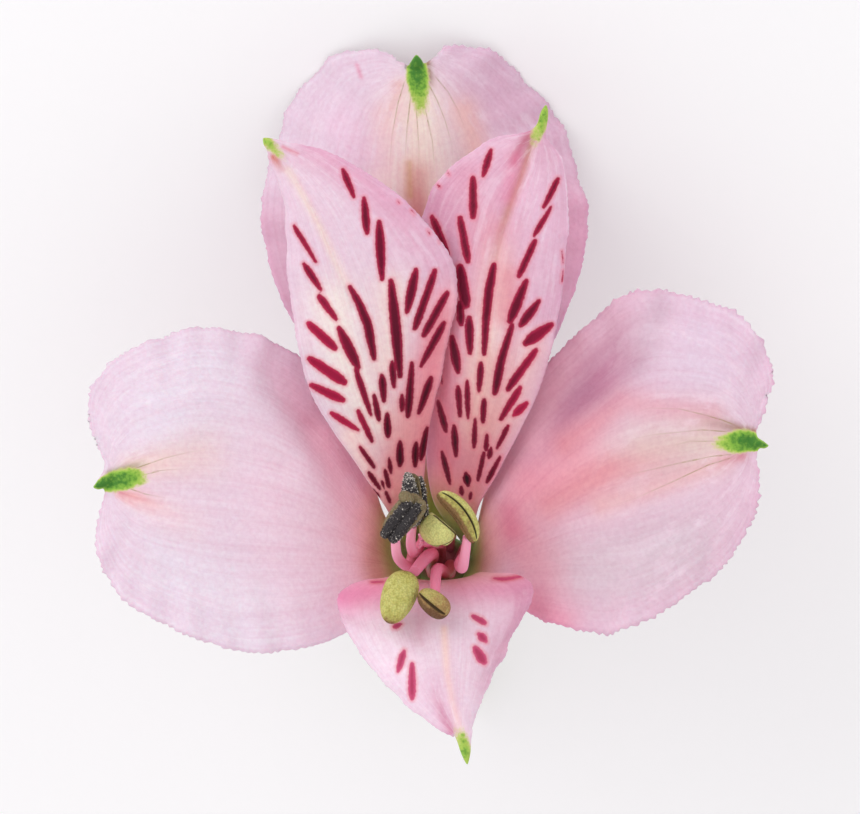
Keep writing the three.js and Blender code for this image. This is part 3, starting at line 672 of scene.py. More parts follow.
# %% Crimson streaks
STREAKS = {
    "inner_tepal_left": [
        (0.6, (-9.9, 39.6), (-8.8, 36.9)), (0.7, (-7.8, 36.8), (-7.5, 33.3)),
        (0.8, (-6.3, 34.4), (-6, 28.7)), (0.5, (-14.8, 34), (-12.6, 30.4)),
        (0.6, (-13.8, 30.2), (-12.1, 27.6)), (0.7, (-12.3, 27), (-10.6, 24.7)),
        (0.8, (-9.2, 27.9), (-8.2, 26.1), (-7.4, 24.1), (-6.8, 20.8)),
        (0.9, (-5.1, 28.5), (-4.6, 23.6), (-4.2, 19)), (0.8, (-2.6, 29.6), (-3.5, 25.4)),
        (0.8, (-0.7, 29.5), (-2.7, 23.8)), (0.8, (0.5, 27.3), (-1.8, 23.1)),
        (0.7, (0.2, 24.3), (-2.1, 20)), (0.9, (-13.3, 24.2), (-10.7, 21.8)),
        (0.9, (-10.3, 23.8), (-8.4, 19.9)), (1, (-13.2, 20.7), (-9.8, 18.4)),
        (0.6, (-8.6, 19.6), (-7.1, 15.1)), (0.8, (-13.1, 18.1), (-9.9, 16.6)),
        (0.6, (-5, 20.4), (-4.8, 17.9)), (0.7, (-6, 19), (-5.8, 16.5)),
        (0.7, (-3, 20.3), (-3.4, 15)), (0.7, (-1.1, 18.8), (-2.3, 15.3)),
        (0.6, (-6.8, 17.1), (-6.3, 14.6)), (0.5, (-4, 17.1), (-4, 15.5)),
        (0.6, (-11.1, 15.3), (-8.4, 13.6)), (0.6, (-8.4, 15.5), (-7, 12.5)),
        (0.7, (-5.5, 15.2), (-5.4, 13)), (0.6, (-1.5, 13.8), (-2.1, 10.7)),
        (0.7, (-4.2, 12.4), (-4.2, 10.1)), (0.6, (-2.6, 12.3), (-2.7, 10)),
        (0.5, (-8.2, 11.9), (-6.8, 9.9)), (0.4, (-5.3, 10.8), (-5.1, 9.3)),
        (0.5, (-7.3, 9.3), (-6.2, 7.7)), (0.5, (-5.7, 9.6), (-5.3, 7.9)),
        (0.3, (-6, 8.5), (-5.8, 7.8)), (0.4, (-7, 7.7), (-6.3, 6.9)),
        (0.4, (-5.6, 7.4), (-5.2, 6.4)), (0.15, (-3.1, 35.6), (-2.8, 35.2)),
        (0.15, (-4.4, 36.5), (-4.2, 36.3)), (0.18, (-1.4, 33.6), (-1.2, 33.2)),
        (0.15, (-0.3, 32.6), (-0.2, 32.3)),
    ],
    "inner_tepal_right": [
        (0.6, (4.9, 41.6), (4.1, 39)), (0.8, (3.1, 38.8), (3.1, 34.9)),
        (0.7, (-1, 34.9), (0.6, 31.2)), (0.8, (1.8, 34.8), (2.6, 30.5)),
        (0.6, (11.6, 38.7), (10.2, 35.9)), (0.5, (10.9, 35.9), (9.2, 33)),
        (0.7, (9.3, 32.5), (7.7, 29)), (1.1, (1.8, 29.9), (2.4, 26.1)),
        (0.8, (5.2, 30.1), (4.7, 27.6), (4.4, 24.6), (4.2, 21.2)),
        (0.9, (8.4, 28.5), (6.8, 24.5)), (0.8, (9.7, 26.5), (7.9, 24.1)),
        (1, (10.9, 24.1), (8.4, 22.3)), (0.8, (1.8, 26.3), (1.9, 24.2)),
        (0.8, (2.7, 24.8), (2.8, 21.3)), (0.8, (1, 22.9), (1.6, 19.4)),
        (0.8, (7, 24.1), (5.9, 20.5), (5.3, 17.3)), (0.8, (9.4, 21.6), (6.6, 17.7)),
        (0.6, (3.9, 20.3), (3.7, 17.5)), (0.7, (7.8, 17.8), (5.9, 14.7)),
        (0.7, (8.5, 16.3), (7.2, 15.1)), (0.6, (1.6, 17.9), (1.8, 15)),
        (0.5, (2.5, 18.5), (2.6, 14.8)), (0.6, (4.2, 16.6), (4.1, 14.4)),
        (0.6, (-0.4, 16.5), (0.4, 13.5)), (0.5, (3.3, 14.7), (3.2, 11.9)),
        (0.6, (1.2, 14), (1.4, 11)), (0.5, (6.6, 14), (5.5, 11.8)),
        (0.5, (4.5, 13.1), (4.4, 11.6)), (0.5, (4.9, 11.8), (4.7, 10.8)),
        (0.5, (4.2, 11.3), (3.6, 8.6)), (0.5, (5.8, 10.9), (4.5, 8.4)),
        (0.5, (0, 11.4), (0.8, 8.2)), (0.7, (2.4, 9.2), (2.6, 8.1)),
        (0.5, (1.9, 7.9), (2, 7.2)), (0.4, (2.9, 7.3), (2.8, 6.7)),
        (0.2, (-0.1, 19.1), (0, 18.2)), (0.2, (0.5, 39.5), (0.7, 39.1)),
        (0.25, (-0.5, 38.2), (-0.2, 37.9)),
        (0.15, (12, 31.5), (12.1, 30.3)), (0.15, (12.1, 29.6), (12, 28.4)),
    ],
    "inner_tepal_lip": [
        (0.6, (-3.8, -8.5), (-4.4, -10.5)), (0.7, (-3, -9.8), (-3, -13.2)),
        (0.6, (3.1, -5), (4.3, -5.7)), (0.7, (3.7, -6.8), (4.4, -7.5)),
        (0.9, (3.3, -8.2), (4.2, -9.6)), (0.5, (-4.8, -6.1), (-4.1, -5.8)),
        (0.3, (5.2, -1.25), (6.4, -1.3), (7.9, -1.05)), (0.2, (-7.1, -1.62), (-5.8, -1.55)),
    ],
}
BESIDE = {  # a soft mask, drawn like the horns', of the brighter dashes beside the inner blades
    "inner_tepal_left": ((1, 1), (3, 2.4), ((-13.4, 24.4), (-9.6, 14))),
    "inner_tepal_right": ((0.6, 1), (1.8, 1.5), ((10.4, 23.4), (7.8, 15.4))),
}
print("streaks:", {name: len(s) for name, s in STREAKS.items()})

# %% [markdown]
# ## Folds
# A soft fold runs from the shoulder of each side tepal into the throat, and shallower ones crease
# the others. Each is its depth and width in millimetres, then its line in the view, so that a
# fold and the shading painted for it lie in the same place.

# %% Folds
FOLDS = {
    "outer_tepal_left": [
        ((0, 0.9, 1, 0.8, 0.4), 1.9, (-20.5, 22.6), (-16.4, 18.2), (-13, 13.8), (-9.8, 9), (-8, 5)),
        (0.35, 1.6, (-24, 12), (-16, 10)),
    ],
    "outer_tepal_right": [
        ((0, 0.8, 1, 0.8, 0.4), 2, (19.8, 25.4), (17.4, 21.4), (15, 18.2), (11.8, 15.2), (8.5, 9)),
        (0.4, 1.5, (25, 9.5), (14, 5)),
    ],
    "outer_tepal_top": [((0, 0.5), 2, (-9, 50), (-6.5, 40)), ((0, 0.6), 2.5, (5, 50), (3, 40))],
    "inner_tepal_left": [(0.3, 0.6, (-15.5, 40.5), (-11.5, 33), (-8.7, 26))],
    "inner_tepal_right": [(0.35, 0.6, (9.2, 42.6), (7, 36.6), (5, 29), (4.6, 25))],
    "inner_tepal_lip": [
        ((0, 0.5, 0), 1.3, (-1.8, -4), (-2.3, -7), (-2.4, -9)),
        ((0, 0.45), 0.7, (-0.9, -11.7), (1, -16.4)),
    ],
}
print("folds:", sum(len(f) for f in FOLDS.values()))

# %% [markdown]
# ## Petal tissue
# A tepal is a few layers of watery cells with a waxy, velvety skin. Light enters, scatters
# pink and leaves again, so the material scatters under the surface; the tiny domed cells give a
# faint sheen instead of a shine. Fine veins run lengthwise a few tenths of a millimetre apart:
# noise stretched along the piece's own UV map makes them, in colour and as a shallow bump.

# %% Petal tissue
TISSUE = {
    "Roughness": 0.6, "IOR": 1.4, "Specular_IOR_Level": 0.25, "Subsurface_Weight": 0.45,
    "Subsurface_Scale": 0.0008, "Subsurface_Radius": (1.0, 0.55, 0.7),
    "Sheen_Weight": 0.12, "Sheen_Roughness": 0.45,
}


def fine_veins(tree):
    """Veins a few tenths of a millimetre wide and a quarter of a tepal long, with broader ones."""
    place = add_node(tree, "TexCoord")["UV"]
    fine_at = add_node(tree, "Mapping", {"Vector": place, "Scale": (75, 4, 1)})[0]
    fine = add_node(tree, "TexNoise", {"Vector": fine_at, "Scale": 1, "Detail": 3, "Roughness": 0.55})[0]
    broad_at = add_node(tree, "Mapping", {"Vector": place, "Scale": (16, 2.5, 1)})[0]
    broad = add_node(tree, "TexNoise", {"Vector": broad_at, "Scale": 1, "Detail": 2})[0]
    return add_node(tree, "Mix", {0: 0.4, 2: fine, 3: broad})[0]


def cell_mottle(tree):
    """Patches of cells, a little under half a millimetre wide."""
    place = add_node(tree, "TexCoord")["Object"]
    return add_node(tree, "TexNoise", {"Vector": place, "Scale": 2200, "Detail": 2, "Roughness": 0.6})[0]


def way_up(tree, start, end, most=1.0):
    """Runs from 0 to the most between two shares of the way up a tepal."""
    up = add_node(tree, "SeparateXYZ", {0: add_node(tree, "TexCoord")["UV"]})["Y"]
    return add_node(tree, "MapRange", {"Value": up, "From Min": start, "From Max": end, "To Max": most})[0]


def pale_flecks(tree):
    """Paler flecks, two or three millimetres across, on the blade alone."""
    place = add_node(tree, "TexCoord")["UV"]
    flecks_at = add_node(tree, "Mapping", {"Vector": place, "Scale": (11, 7, 1)})[0]
    flecks = add_node(tree, "TexNoise", {"Vector": flecks_at, "Scale": 1, "Detail": 6, "Roughness": 0.62,
                                         "Distortion": 0.6})[0]
    return add_node(tree, "MapRange", {"Value": flecks, "From Min": 0.5, "From Max": 0.62,
                                       "To Max": way_up(tree, 0.3, 0.55)},
                    interpolation_type="SMOOTHSTEP")[0]


def living_tint(tree, veins, mottle):
    """The painted tint with flecks, fine veins and mottle in it, and a pinker rim."""
    tint = add_node(tree, "Attribute", attribute_name="tint")["Color"]
    flecks = add_node(tree, "Math", {0: pale_flecks(tree), 1: 0.3}, operation="MULTIPLY")[0]
    flecked = add_node(tree, "Mix", {0: flecks, 6: tint, 7: linear("#F0E4EC")}, data_type="RGBA")[2]
    vein_tone = add_node(tree, "ValToRGB", {0: veins}, ((0.3, "#E6BACD"), (0.6, "#FFFFFF")))[0]
    toned = add_node(tree, "Mix", {0: 0.28, 6: flecked, 7: vein_tone},
                     data_type="RGBA", blend_type="MULTIPLY")[2]
    grain = add_node(tree, "ValToRGB", {0: mottle}, ((0.3, "#F0E2EA"), (0.65, "#FFFFFF")))[0]
    mottled = add_node(tree, "Mix", {0: 0.45, 6: toned, 7: grain},
                       data_type="RGBA", blend_type="MULTIPLY")[2]
    rim = add_node(tree, "Attribute", attribute_name="rim")["Fac"]
    at_rim = add_node(tree, "MapRange", {"Value": rim, "From Min": 0.35, "From Max": 0, "To Max": 0.2})[0]
    return add_node(tree, "Mix", {0: at_rim, 6: mottled, 7: linear("#D98DB0")}, data_type="RGBA")[2]


print("tissue settings:", ", ".join(TISSUE))

# %% [markdown]
# ## Layers on the tissue
# The face carries three kinds of marks, laid over the tissue one after another: drawn veins,
# the horn and the streaks. Each reads its own attribute, a distance or a strength, and turns it
# into a cover between 0 and 1. The cell mottle roughens the marks' edges and breaks up the veins.

# %% Layers on the tissue
def with_veins(tree, color, mottle):
    """Long veins: the vein attribute is whole on each, and the gap turns it to millimetres."""
    vein, gap, fade = (add_node(tree, "Attribute", attribute_name=key)["Fac"]
                       for key in ("vein", "vein_gap", "vein_fade"))
    off_vein = add_node(tree, "Math", {0: vein, 1: 0.5}, operation="PINGPONG")[0]
    from_vein = add_node(tree, "Math", {0: off_vein, 1: gap}, operation="MULTIPLY")[0]
    on_vein = add_node(tree, "MapRange", {"Value": from_vein, "From Min": 0.1, "From Max": 0.015},
                       interpolation_type="SMOOTHSTEP")[0]
    patchy = add_node(tree, "MapRange", {"Value": mottle, "From Min": 0.38, "From Max": 0.6,
                                         "To Min": 0.45})[0]
    faded = add_node(tree, "Math", {0: patchy, 1: fade}, operation="MULTIPLY")[0]
    shown = add_node(tree, "Math", {0: on_vein, 1: faded}, operation="MULTIPLY")[0]
    return add_node(tree, "Mix", {0: shown, 6: color, 7: linear("#96843F")}, data_type="RGBA")[2]


def with_horn(tree, color, veins, mottle):
    """The horn: cream and lime where it breaks up along the veins, with a darker green heart."""
    green, rim = (add_node(tree, "Attribute", attribute_name=key)["Fac"] for key in ("green", "rim"))
    streaky = add_node(tree, "Math", {0: veins, 1: 0.3, 2: green}, operation="MULTIPLY_ADD")[0]
    ragged = add_node(tree, "Math", {0: mottle, 1: 0.4, 2: streaky}, operation="MULTIPLY_ADD")[0]
    tone = add_node(tree, "ValToRGB", {0: ragged},
                    ((0.5, "#DDD2AE"), (0.62, "#CCCB88"), (0.8, "#A8C658"), (1, "#88B845")))[0]
    speckled = add_node(tree, "Math", {0: mottle, 1: 1.4, 2: ragged}, operation="MULTIPLY_ADD")[0]
    within = add_node(tree, "MapRange", {"Value": rim, "From Min": 0.06, "From Max": 0.22})[0]
    heart = add_node(tree, "MapRange", {"Value": speckled, "From Min": 1.45, "From Max": 2.35,
                                        "To Max": within}, interpolation_type="SMOOTHSTEP")[0]
    deep = add_node(tree, "Mix", {0: heart, 6: tone, 7: linear("#44802F")}, data_type="RGBA")[2]
    shown = add_node(tree, "MapRange", {"Value": ragged, "From Min": 0.48, "From Max": 0.74},
                     interpolation_type="SMOOTHSTEP")[0]
    return add_node(tree, "Mix", {0: shown, 6: color, 7: deep}, data_type="RGBA")[2]


# A layer of a streak: full and no cover at millimetres from its outline, the most cover, and its
# colours in the throat, up on the blade and beside the blade.
HALO = (0.06, 0.46, 0.5, "#D8707F", "#E07F92", "#E07F92")
CRIMSON_STREAKS = (HALO, (-0.01, 0.15, 1, "#7A1030", "#A81C44", "#B8244E"),
                   (-0.3, 0.02, 1, "#2A000E", "#6C0028", "#9C0C3C"))
ROSE_STREAKS = (HALO, (-0.01, 0.15, 1, "#B83A64", "#C9557C", "#C9557C"),
                (-0.3, 0.02, 1, "#A02048", "#B03A60", "#B03A60"))


def with_streaks(tree, color, mottle, layers):
    """Streaks: a soft halo, a red edge and a darker heart."""
    streak, beside = (add_node(tree, "Attribute", attribute_name=key)["Fac"]
                      for key in ("streak", "beside"))
    outside = add_node(tree, "Math", {0: mottle, 1: 0.18, 2: streak}, operation="MULTIPLY_ADD")[0]
    up = way_up(tree, 0.2, 0.5)
    for full, none, most, low, high, side in layers:
        inside = add_node(tree, "MapRange", {"Value": outside, "From Min": none, "From Max": full,
                                             "To Max": most}, interpolation_type="SMOOTHSTEP")[0]
        upright = add_node(tree, "Mix", {0: up, 6: linear(low), 7: linear(high)}, data_type="RGBA")[2]
        tone = add_node(tree, "Mix", {0: beside, 6: upright, 7: linear(side)}, data_type="RGBA")[2]
        color = add_node(tree, "Mix", {0: inside, 6: color, 7: tone}, data_type="RGBA")[2]
    return color


print("streak layers:", len(CRIMSON_STREAKS))

# %% [markdown]
# ## Face and back
# The outer tepals have drawn veins and no streaks, and the inner ones the reverse. The back of
# all six is paler, its veins stand out more, and its midrib and foot are green.

# %% Face and back
def tepal_face(name, streak_layers=()):
    """The face of a tepal: tissue, then veins, horn and streaks."""
    material, tree, shader = new_material(name, **TISSUE)
    veins, mottle = fine_veins(tree), cell_mottle(tree)
    color = with_veins(tree, living_tint(tree, veins, mottle), mottle)
    color = with_streaks(tree, with_horn(tree, color, veins, mottle), mottle, streak_layers)
    relief = add_node(tree, "Mix", {0: 0.35, 2: veins, 3: mottle})[0]
    dress(tree, shader, color, relief, 0.35, 0.4)
    return material


def tepal_back(name):
    """The back of a tepal: paler, with raised veins, a green midrib and a green foot."""
    material, tree, shader = new_material(name, **TISSUE)
    veins = fine_veins(tree)
    tint = add_node(tree, "Attribute", attribute_name="tint")["Color"]
    rib = add_node(tree, "Attribute", attribute_name="rib")["Fac"]
    pale = add_node(tree, "Mix", {0: 0.45, 6: tint, 7: linear("#F0DDE6")}, data_type="RGBA")[2]
    vein_tone = add_node(tree, "ValToRGB", {0: veins}, ((0.35, "#CF93B4"), (0.58, "#FFFFFF")))[0]
    toned = add_node(tree, "Mix", {0: 0.5, 6: pale, 7: vein_tone},
                     data_type="RGBA", blend_type="MULTIPLY")[2]
    ragged = add_node(tree, "Math", {0: veins, 1: 0.5, 2: rib}, operation="MULTIPLY_ADD")[0]
    green = add_node(tree, "MapRange", {"Value": ragged, "From Min": 0.5, "From Max": 1.1},
                     interpolation_type="SMOOTHSTEP")[0]
    ribbed = add_node(tree, "Mix", {0: green, 6: toned, 7: linear("#8FB055")}, data_type="RGBA")[2]
    at_foot = way_up(tree, 0.2, 0.02, 0.75)
    footed = add_node(tree, "Mix", {0: at_foot, 6: ribbed, 7: linear("#9BAA62")}, data_type="RGBA")[2]
    dress(tree, shader, footed, veins, 0.5, 0.5)
    return material


outer_face = tepal_face("outer_tepal_tissue")
inner_face = tepal_face("inner_tepal_tissue", CRIMSON_STREAKS)
lip_face = tepal_face("lip_tepal_tissue", ROSE_STREAKS)
back_tissue = tepal_back("tepal_back_tissue")
print("tissue materials:", outer_face.name, inner_face.name, lip_face.name, back_tissue.name)

# %% [markdown]
# ## What a tepal's points carry
# The sheet is thin at the rim, thicker along the midrib and full in the horn. What was painted
# is stored on the points of the face: the tint, the distance to a streak, to the rim and to the
# drawn veins, and the horn's strength.

# %% What a tepal's points carry
BLADE_MM, RIM_MM, HORN_MM = 0.45, 0.22, 1.0
LEAST_MM = 0.05  # so that the sheet closes up nowhere
HORN_HALF_MM = 0.9  # half width of the horn's round body
THROAT_ENDS_MM = (8, 15)  # where the throat's colours begin to fade and are gone
VEIN_STRENGTH = 0.62
VEIN_FADE = (0.2, 0.95)  # shares of a vein's way where it begins to fade and is gone


def smooth_step(x, low, high):
    """Runs smoothly from 0 to 1 between two values."""
    share = np.clip((x - low) / (high - low), 0, 1)
    return share * share * (3 - 2 * share)


def sheet_thickness(along, across, from_midrib, horn_from):
    """Millimetres of thickness at each grid point, rounded across where the tepal is narrow."""
    horn = smooth_step(along, *horn_from)[:, None] * np.exp(-((from_midrib / HORN_HALF_MM) ** 2))
    blade = BLADE_MM + (RIM_MM - BLADE_MM) * np.abs(across) ** 2.5
    narrow = 1 - smooth_step(from_midrib[:, [0]], HORN_HALF_MM, 2 * HORN_HALF_MM)
    rounded = 1 - narrow * (1 - np.sqrt(1 - 0.92 * across**2))
    return np.maximum((blade + (HORN_MM - blade) * horn) * rounded * round_end(along)[:, None], LEAST_MM)


def store(mesh, name, values):
    """Keeps one number, or one colour, for each vertex of a mesh."""
    is_color = values.ndim == 3 and values.shape[-1] == 4
    kind, key = ("FLOAT_COLOR", "color") if is_color else ("FLOAT", "value")
    mesh.attributes.new(name, kind, "POINT").data.foreach_set(key, np.ravel(values).astype(np.float32))


def vein_field(view, lines):
    """A number that is whole on each drawn vein, the millimetres between veins, and their strength."""
    beside = np.array([signed_distance(view, line) for line in lines])
    past = np.clip((beside > 0).sum(axis=0), 1, len(lines) - 1)
    before = np.take_along_axis(beside, past[None] - 1, 0)[0]
    after = np.take_along_axis(beside, past[None], 0)[0]
    gap = np.maximum(before - after, 0.05)
    number = past - 1 + before / gap
    share = np.array([distance_to_line(view, line)[1] for line in lines])
    nearest = np.clip(np.round(number), 0, len(lines) - 1).astype(int)
    way = np.take_along_axis(share, nearest[None], 0)[0]
    inside = np.abs(number - nearest) < 0.5
    strength = VEIN_STRENGTH * inside * smooth_step(way, 0, 0.08) * (1 - smooth_step(way, *VEIN_FADE))
    return number, gap, strength


def paint_tepal(mesh, name, points, rim):
    """Stores what is drawn for a tepal on the points of its face."""
    view = in_view(points)
    tint = paint(view, BASE_TINT[name], STROKES[name])
    # The throat colours cover the tint near the ovary: the claws' green, with painted shade and painted
    # light.
    depth = np.linalg.norm(points, axis=-1) - THROAT_SHIFT_MM.get(name, 0)
    depths, colors = zip(*THROAT)
    throat = np.stack([np.interp(depth, depths, channel) for channel in zip(*map(linear, colors))], axis=-1)
    in_throat = (1 - smooth_step(depth, *THROAT_ENDS_MM))[..., None]
    store(mesh, "tint", tint + in_throat * (throat - tint))
    store(mesh, "streak", streak_distance(view, STREAKS.get(name, [])))
    store(mesh, "green", horn_mask(view, *GREEN[name]))
    if name in BESIDE:
        store(mesh, "beside", horn_mask(view, *BESIDE[name]))
    if name in VEINS:
        for key, values in zip(("vein", "vein_gap", "vein_fade"), vein_field(view, VEINS[name])):
            store(mesh, key, values)
    store(mesh, "rim", rim)


print("sheet mm at the midrib, rim and horn:", BLADE_MM, RIM_MM, HORN_MM)

# %% [markdown]
# ## Six tepals
# A grid is added and its points are moved onto the shaped skin. Solidify then gives the sheet
# its thickness, with the back in its own material. The grid keeps its UV map, which runs across
# and along the tepal, so the fine veins follow the blade however it bends.

# %% Six tepals
def thicken_tepal(tepal, share, face):
    """Closes the tip, thickens the sheet by a share of the horn's thickness, and adds materials."""
    sheet = tepal.vertex_groups.new(name="sheet")
    levels = np.round(share, 2).ravel()
    for level in np.unique(levels):
        sheet.add(np.flatnonzero(levels == level).tolist(), float(level), "REPLACE")
    tepal.data.materials.append(face)
    tepal.data.materials.append(back_tissue)
    bpy.ops.object.mode_set(mode="EDIT")
    bpy.ops.mesh.select_all(action="SELECT")
    bpy.ops.mesh.remove_doubles(threshold=0.002 * MM)
    bpy.ops.object.mode_set(mode="OBJECT")
    thicken = tepal.modifiers.new("thicken", "SOLIDIFY")
    thicken.thickness = HORN_MM * MM
    thicken.offset = -1
    thicken.vertex_group = "sheet"
    thicken.material_offset = 1
    thicken.material_offset_rim = 0
    bpy.ops.object.modifier_apply(modifier="thicken")
    bpy.ops.object.shade_smooth()
    tepal.select_set(False)


def make_tepal(name, columns, rows, teeth, ruffle, horn_from, face):
    """Builds one tepal from its sections and everything drawn for it."""
    bpy.ops.mesh.primitive_grid_add(x_subdivisions=columns, y_subdivisions=rows, size=2)
    tepal = bpy.context.object
    tepal.name = name.replace("tepal", "tepal_skin")
    random = np.random.default_rng(sum(map(ord, name)))
    along, across = np.linspace(0, 1, rows + 1), np.linspace(-1, 1, columns + 1)
    points, rim = shape_tepal(skin(SECTIONS[name], along, across), teeth, ruffle, FOLDS[name], random)
    from_midrib = np.linalg.norm(points - points[:, [columns // 2]], axis=-1)
    thickness = sheet_thickness(along, across, from_midrib, horn_from)
    points += directions(points)[1] * thickness[..., None] / 2
    tepal.data.vertices.foreach_set("co", in_model(points).astype(np.float32).ravel())
    paint_tepal(tepal.data, name, points, rim)
    rib = np.exp(-((across / 0.13) ** 2))[None, :] * (0.35 + 0.65 * along[:, None] ** 2)
    store(tepal.data, "rib", rib)
    thicken_tepal(tepal, thickness / HORN_MM, face)
    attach(tepal, "root")
    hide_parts(name)
    print(tepal.name, "triangles:", sum(len(p.vertices) - 2 for p in tepal.data.polygons))


OUTER_HORN, INNER_HORN = (0.86, 0.94), (0.9, 0.96)  # where a horn swells, as shares of the length
TEPALS = {  # columns, rows, spacing and height of the teeth, ruffle, horn and face; millimetres
    "outer_tepal_top": (90, 400, (0.8, 0.3), 0.35, OUTER_HORN, outer_face),
    "outer_tepal_left": (90, 400, (0.8, 0.32), 0.35, OUTER_HORN, outer_face),
    "outer_tepal_right": (90, 400, (0.85, 0.4), 0.35, OUTER_HORN, outer_face),
    "inner_tepal_left": (84, 340, (0.7, 0.12), 0.2, INNER_HORN, inner_face),
    "inner_tepal_right": (84, 340, (0.7, 0.12), 0.2, INNER_HORN, inner_face),
    "inner_tepal_lip": (124, 300, (0.7, 0.12), 0.3, INNER_HORN, lip_face),
}
for name, facts in TEPALS.items():
    make_tepal(name, *facts)

# %% [markdown]
# ## Strands
# Filaments, the style and the stalk are round strands that bend and taper. A path curve with a
# round bevel is the natural tool: its points carry a radius, so the taper is drawn with the
# route. The curve is made a mesh at the end, so that it exports as what is seen.

# %% Strands
STRAND_POINTS = 26
RINGS_PER_POINT = 4


def make_strand(name, route, radii, sides=24):
    """A round strand along a route, its radius running through the given ones, as a mesh."""
    bpy.ops.curve.primitive_nurbs_path_add()
    strand = bpy.context.object
    strand.name = name
    share = np.linspace(0, 1, STRAND_POINTS)
    spline = strand.data.splines[0]
    spline.points.add(STRAND_POINTS - len(spline.points))
    thick = np.interp(share, np.linspace(0, 1, len(radii)), radii)
    for point, place, radius in zip(spline.points, in_model(smooth_curve(route, share)), thick):
        point.co = (*place, 1)
        point.radius = radius
    spline.use_endpoint_u = True
    spline.resolution_u = RINGS_PER_POINT
    strand.data.dimensions = "3D"
    strand.data.bevel_depth = MM
    strand.data.bevel_resolution = sides // 4
    strand.data.use_fill_caps = True
    bpy.ops.object.convert(target="MESH")
    strand = bpy.context.object
    bpy.ops.object.shade_smooth()
    strand.select_set(False)
    return strand


def join_parts(parts):
    """Joins all the parts into the first one."""
    bpy.ops.object.select_all(action="DESELECT")
    for part in parts:
        part.select_set(True)
    bpy.context.view_layer.objects.active = parts[0]
    bpy.ops.object.join()
    parts[0].select_set(False)


print("points on a strand:", STRAND_POINTS)

# %% [markdown]
# ## Strand tissue
# A filament is soft pink and a little translucent, and deep pink down in the throat, where the deep pink is
# partly painted shade. Its colour follows the distance from the ovary's top, and noise stretched along the
# flower's axis draws faint lengthwise lines. The two lower filaments, which lie under the anthers, get a
# darker, rosier copy as painted shade, so the tissue is made twice.

# %% Strand tissue
def from_ovary_top(tree):
    """Distance from the top of the ovary, in metres."""
    place = add_node(tree, "TexCoord")["Object"]
    top = in_model((0, 0, 0)).tolist()
    return add_node(tree, "VectorMath", {0: place, 1: top}, operation="DISTANCE")["Value"]


def filament_tissue(name, pale, mid, deep):
    """Strand tissue: pale pink above, deep pink down in the throat, partly painted shade, with fine
    lengthwise lines.
    """
    material, tree, shader = new_material(name, Roughness=0.42, IOR=1.4, Specular_IOR_Level=0.35,
                                          Subsurface_Weight=0.35, Subsurface_Scale=0.0006,
                                          Subsurface_Radius=(1.0, 0.5, 0.6), Coat_Weight=0.08)
    height = add_node(tree, "MapRange", {"Value": from_ovary_top(tree), "From Min": 14 * MM,
                                         "From Max": 23 * MM})[0]
    place = add_node(tree, "TexCoord")["Object"]
    lines_at = add_node(tree, "Mapping", {"Vector": place, "Scale": (1, 1, 8),
                                          "Rotation": (math.radians(LIE_BACK_DEG), 0, 0)},
                        vector_type="TEXTURE")[0]
    lines = add_node(tree, "TexNoise", {"Vector": lines_at, "Scale": 4200, "Detail": 2})[0]
    mixed = add_node(tree, "Math", {0: lines, 1: 0.35, 2: height}, operation="MULTIPLY_ADD")[0]
    tone = add_node(tree, "ValToRGB", {0: mixed}, ((0.05, deep), (0.6, mid), (1, pale)))[0]
    dress(tree, shader, tone, lines, 0.25, 0.2)
    return material


strand_tissue = filament_tissue("filament_tissue", "#F8A8C2", "#EA80A2", "#BE4E62")
# A darker, rosier copy: painted shade for the two lower filaments.
rosy_shaded_tissue = filament_tissue("rosy_shaded_filament_tissue", "#E888A6", "#CC5670", "#B0464E")
print("strand tissues:", strand_tissue.name, rosy_shaded_tissue.name)

# %% [markdown]
# ## Filaments and style
# Six filaments stand in a ring on the ovary and lean across each other as they rise. Each is
# drawn as the few points it passes through, from its foot in the throat to its anther. The style
# is one more such strand, with three tiny branches at its end, joined to it in one piece.

# %% Filaments and style
STAMEN_RING_MM = 1.75
THROAT_LEAN_DEG = 30
lean = math.radians(THROAT_LEAN_DEG)
throat_along = np.array([0, math.sin(lean), math.cos(lean)])
throat_up = np.array([0, math.cos(lean), -math.sin(lean)])
FILAMENTS = {  # angle on the ring in degrees, then the route in face millimetres
    1: (120, (-1.5, 3.2, 7), (-2, 2.3, 13.5), (-2.8, 1.5, 19.4), (-3.1, 2.6, 22), (-2.9, 4.3, 23.9)),
    2: (180, (-2.7, 1.6, 7), (-3.1, 0.4, 14), (-3.4, 0.1, 19), (-4.4, 1.2, 22.6), (-4.6, 3.5, 26.8)),
    3: (60, (0.8, 3, 7), (0.4, 3.2, 13), (-0.3, 3.6, 18), (-1, 4.1, 21.6)),
    4: (0, (2.4, 1.6, 7), (2.2, 1, 13), (1.7, 0.3, 17.5), (2, 0, 20.6), (2.2, 1.2, 22.7),
        (2.45, 3.2, 24.2)),
    5: (240, (-1.2, 0.1, 7), (-1, 0.8, 13.5), (-1.1, 1.3, 17.5), (-1.9, 0.7, 21), (-2.7, -0.2, 23.5)),
    6: (300, (0.9, -0.2, 7), (0.4, -0.8, 13), (-0.2, -0.2, 17.6), (-0.6, -0.4, 21), (-0.7, -2.4, 24.5)),
}
FILAMENT_RADII_MM = {1: 0.5, 2: 0.52, 3: 0.5, 4: 0.52, 5: 0.64, 6: 0.58}
STYLE_ROUTE = [(0, 0.05, 0.1), (0, 1.8, 7), (-0.4, 2, 13), (-1.5, 2.3, 18), (-1.9, 2.7, 20.5)]

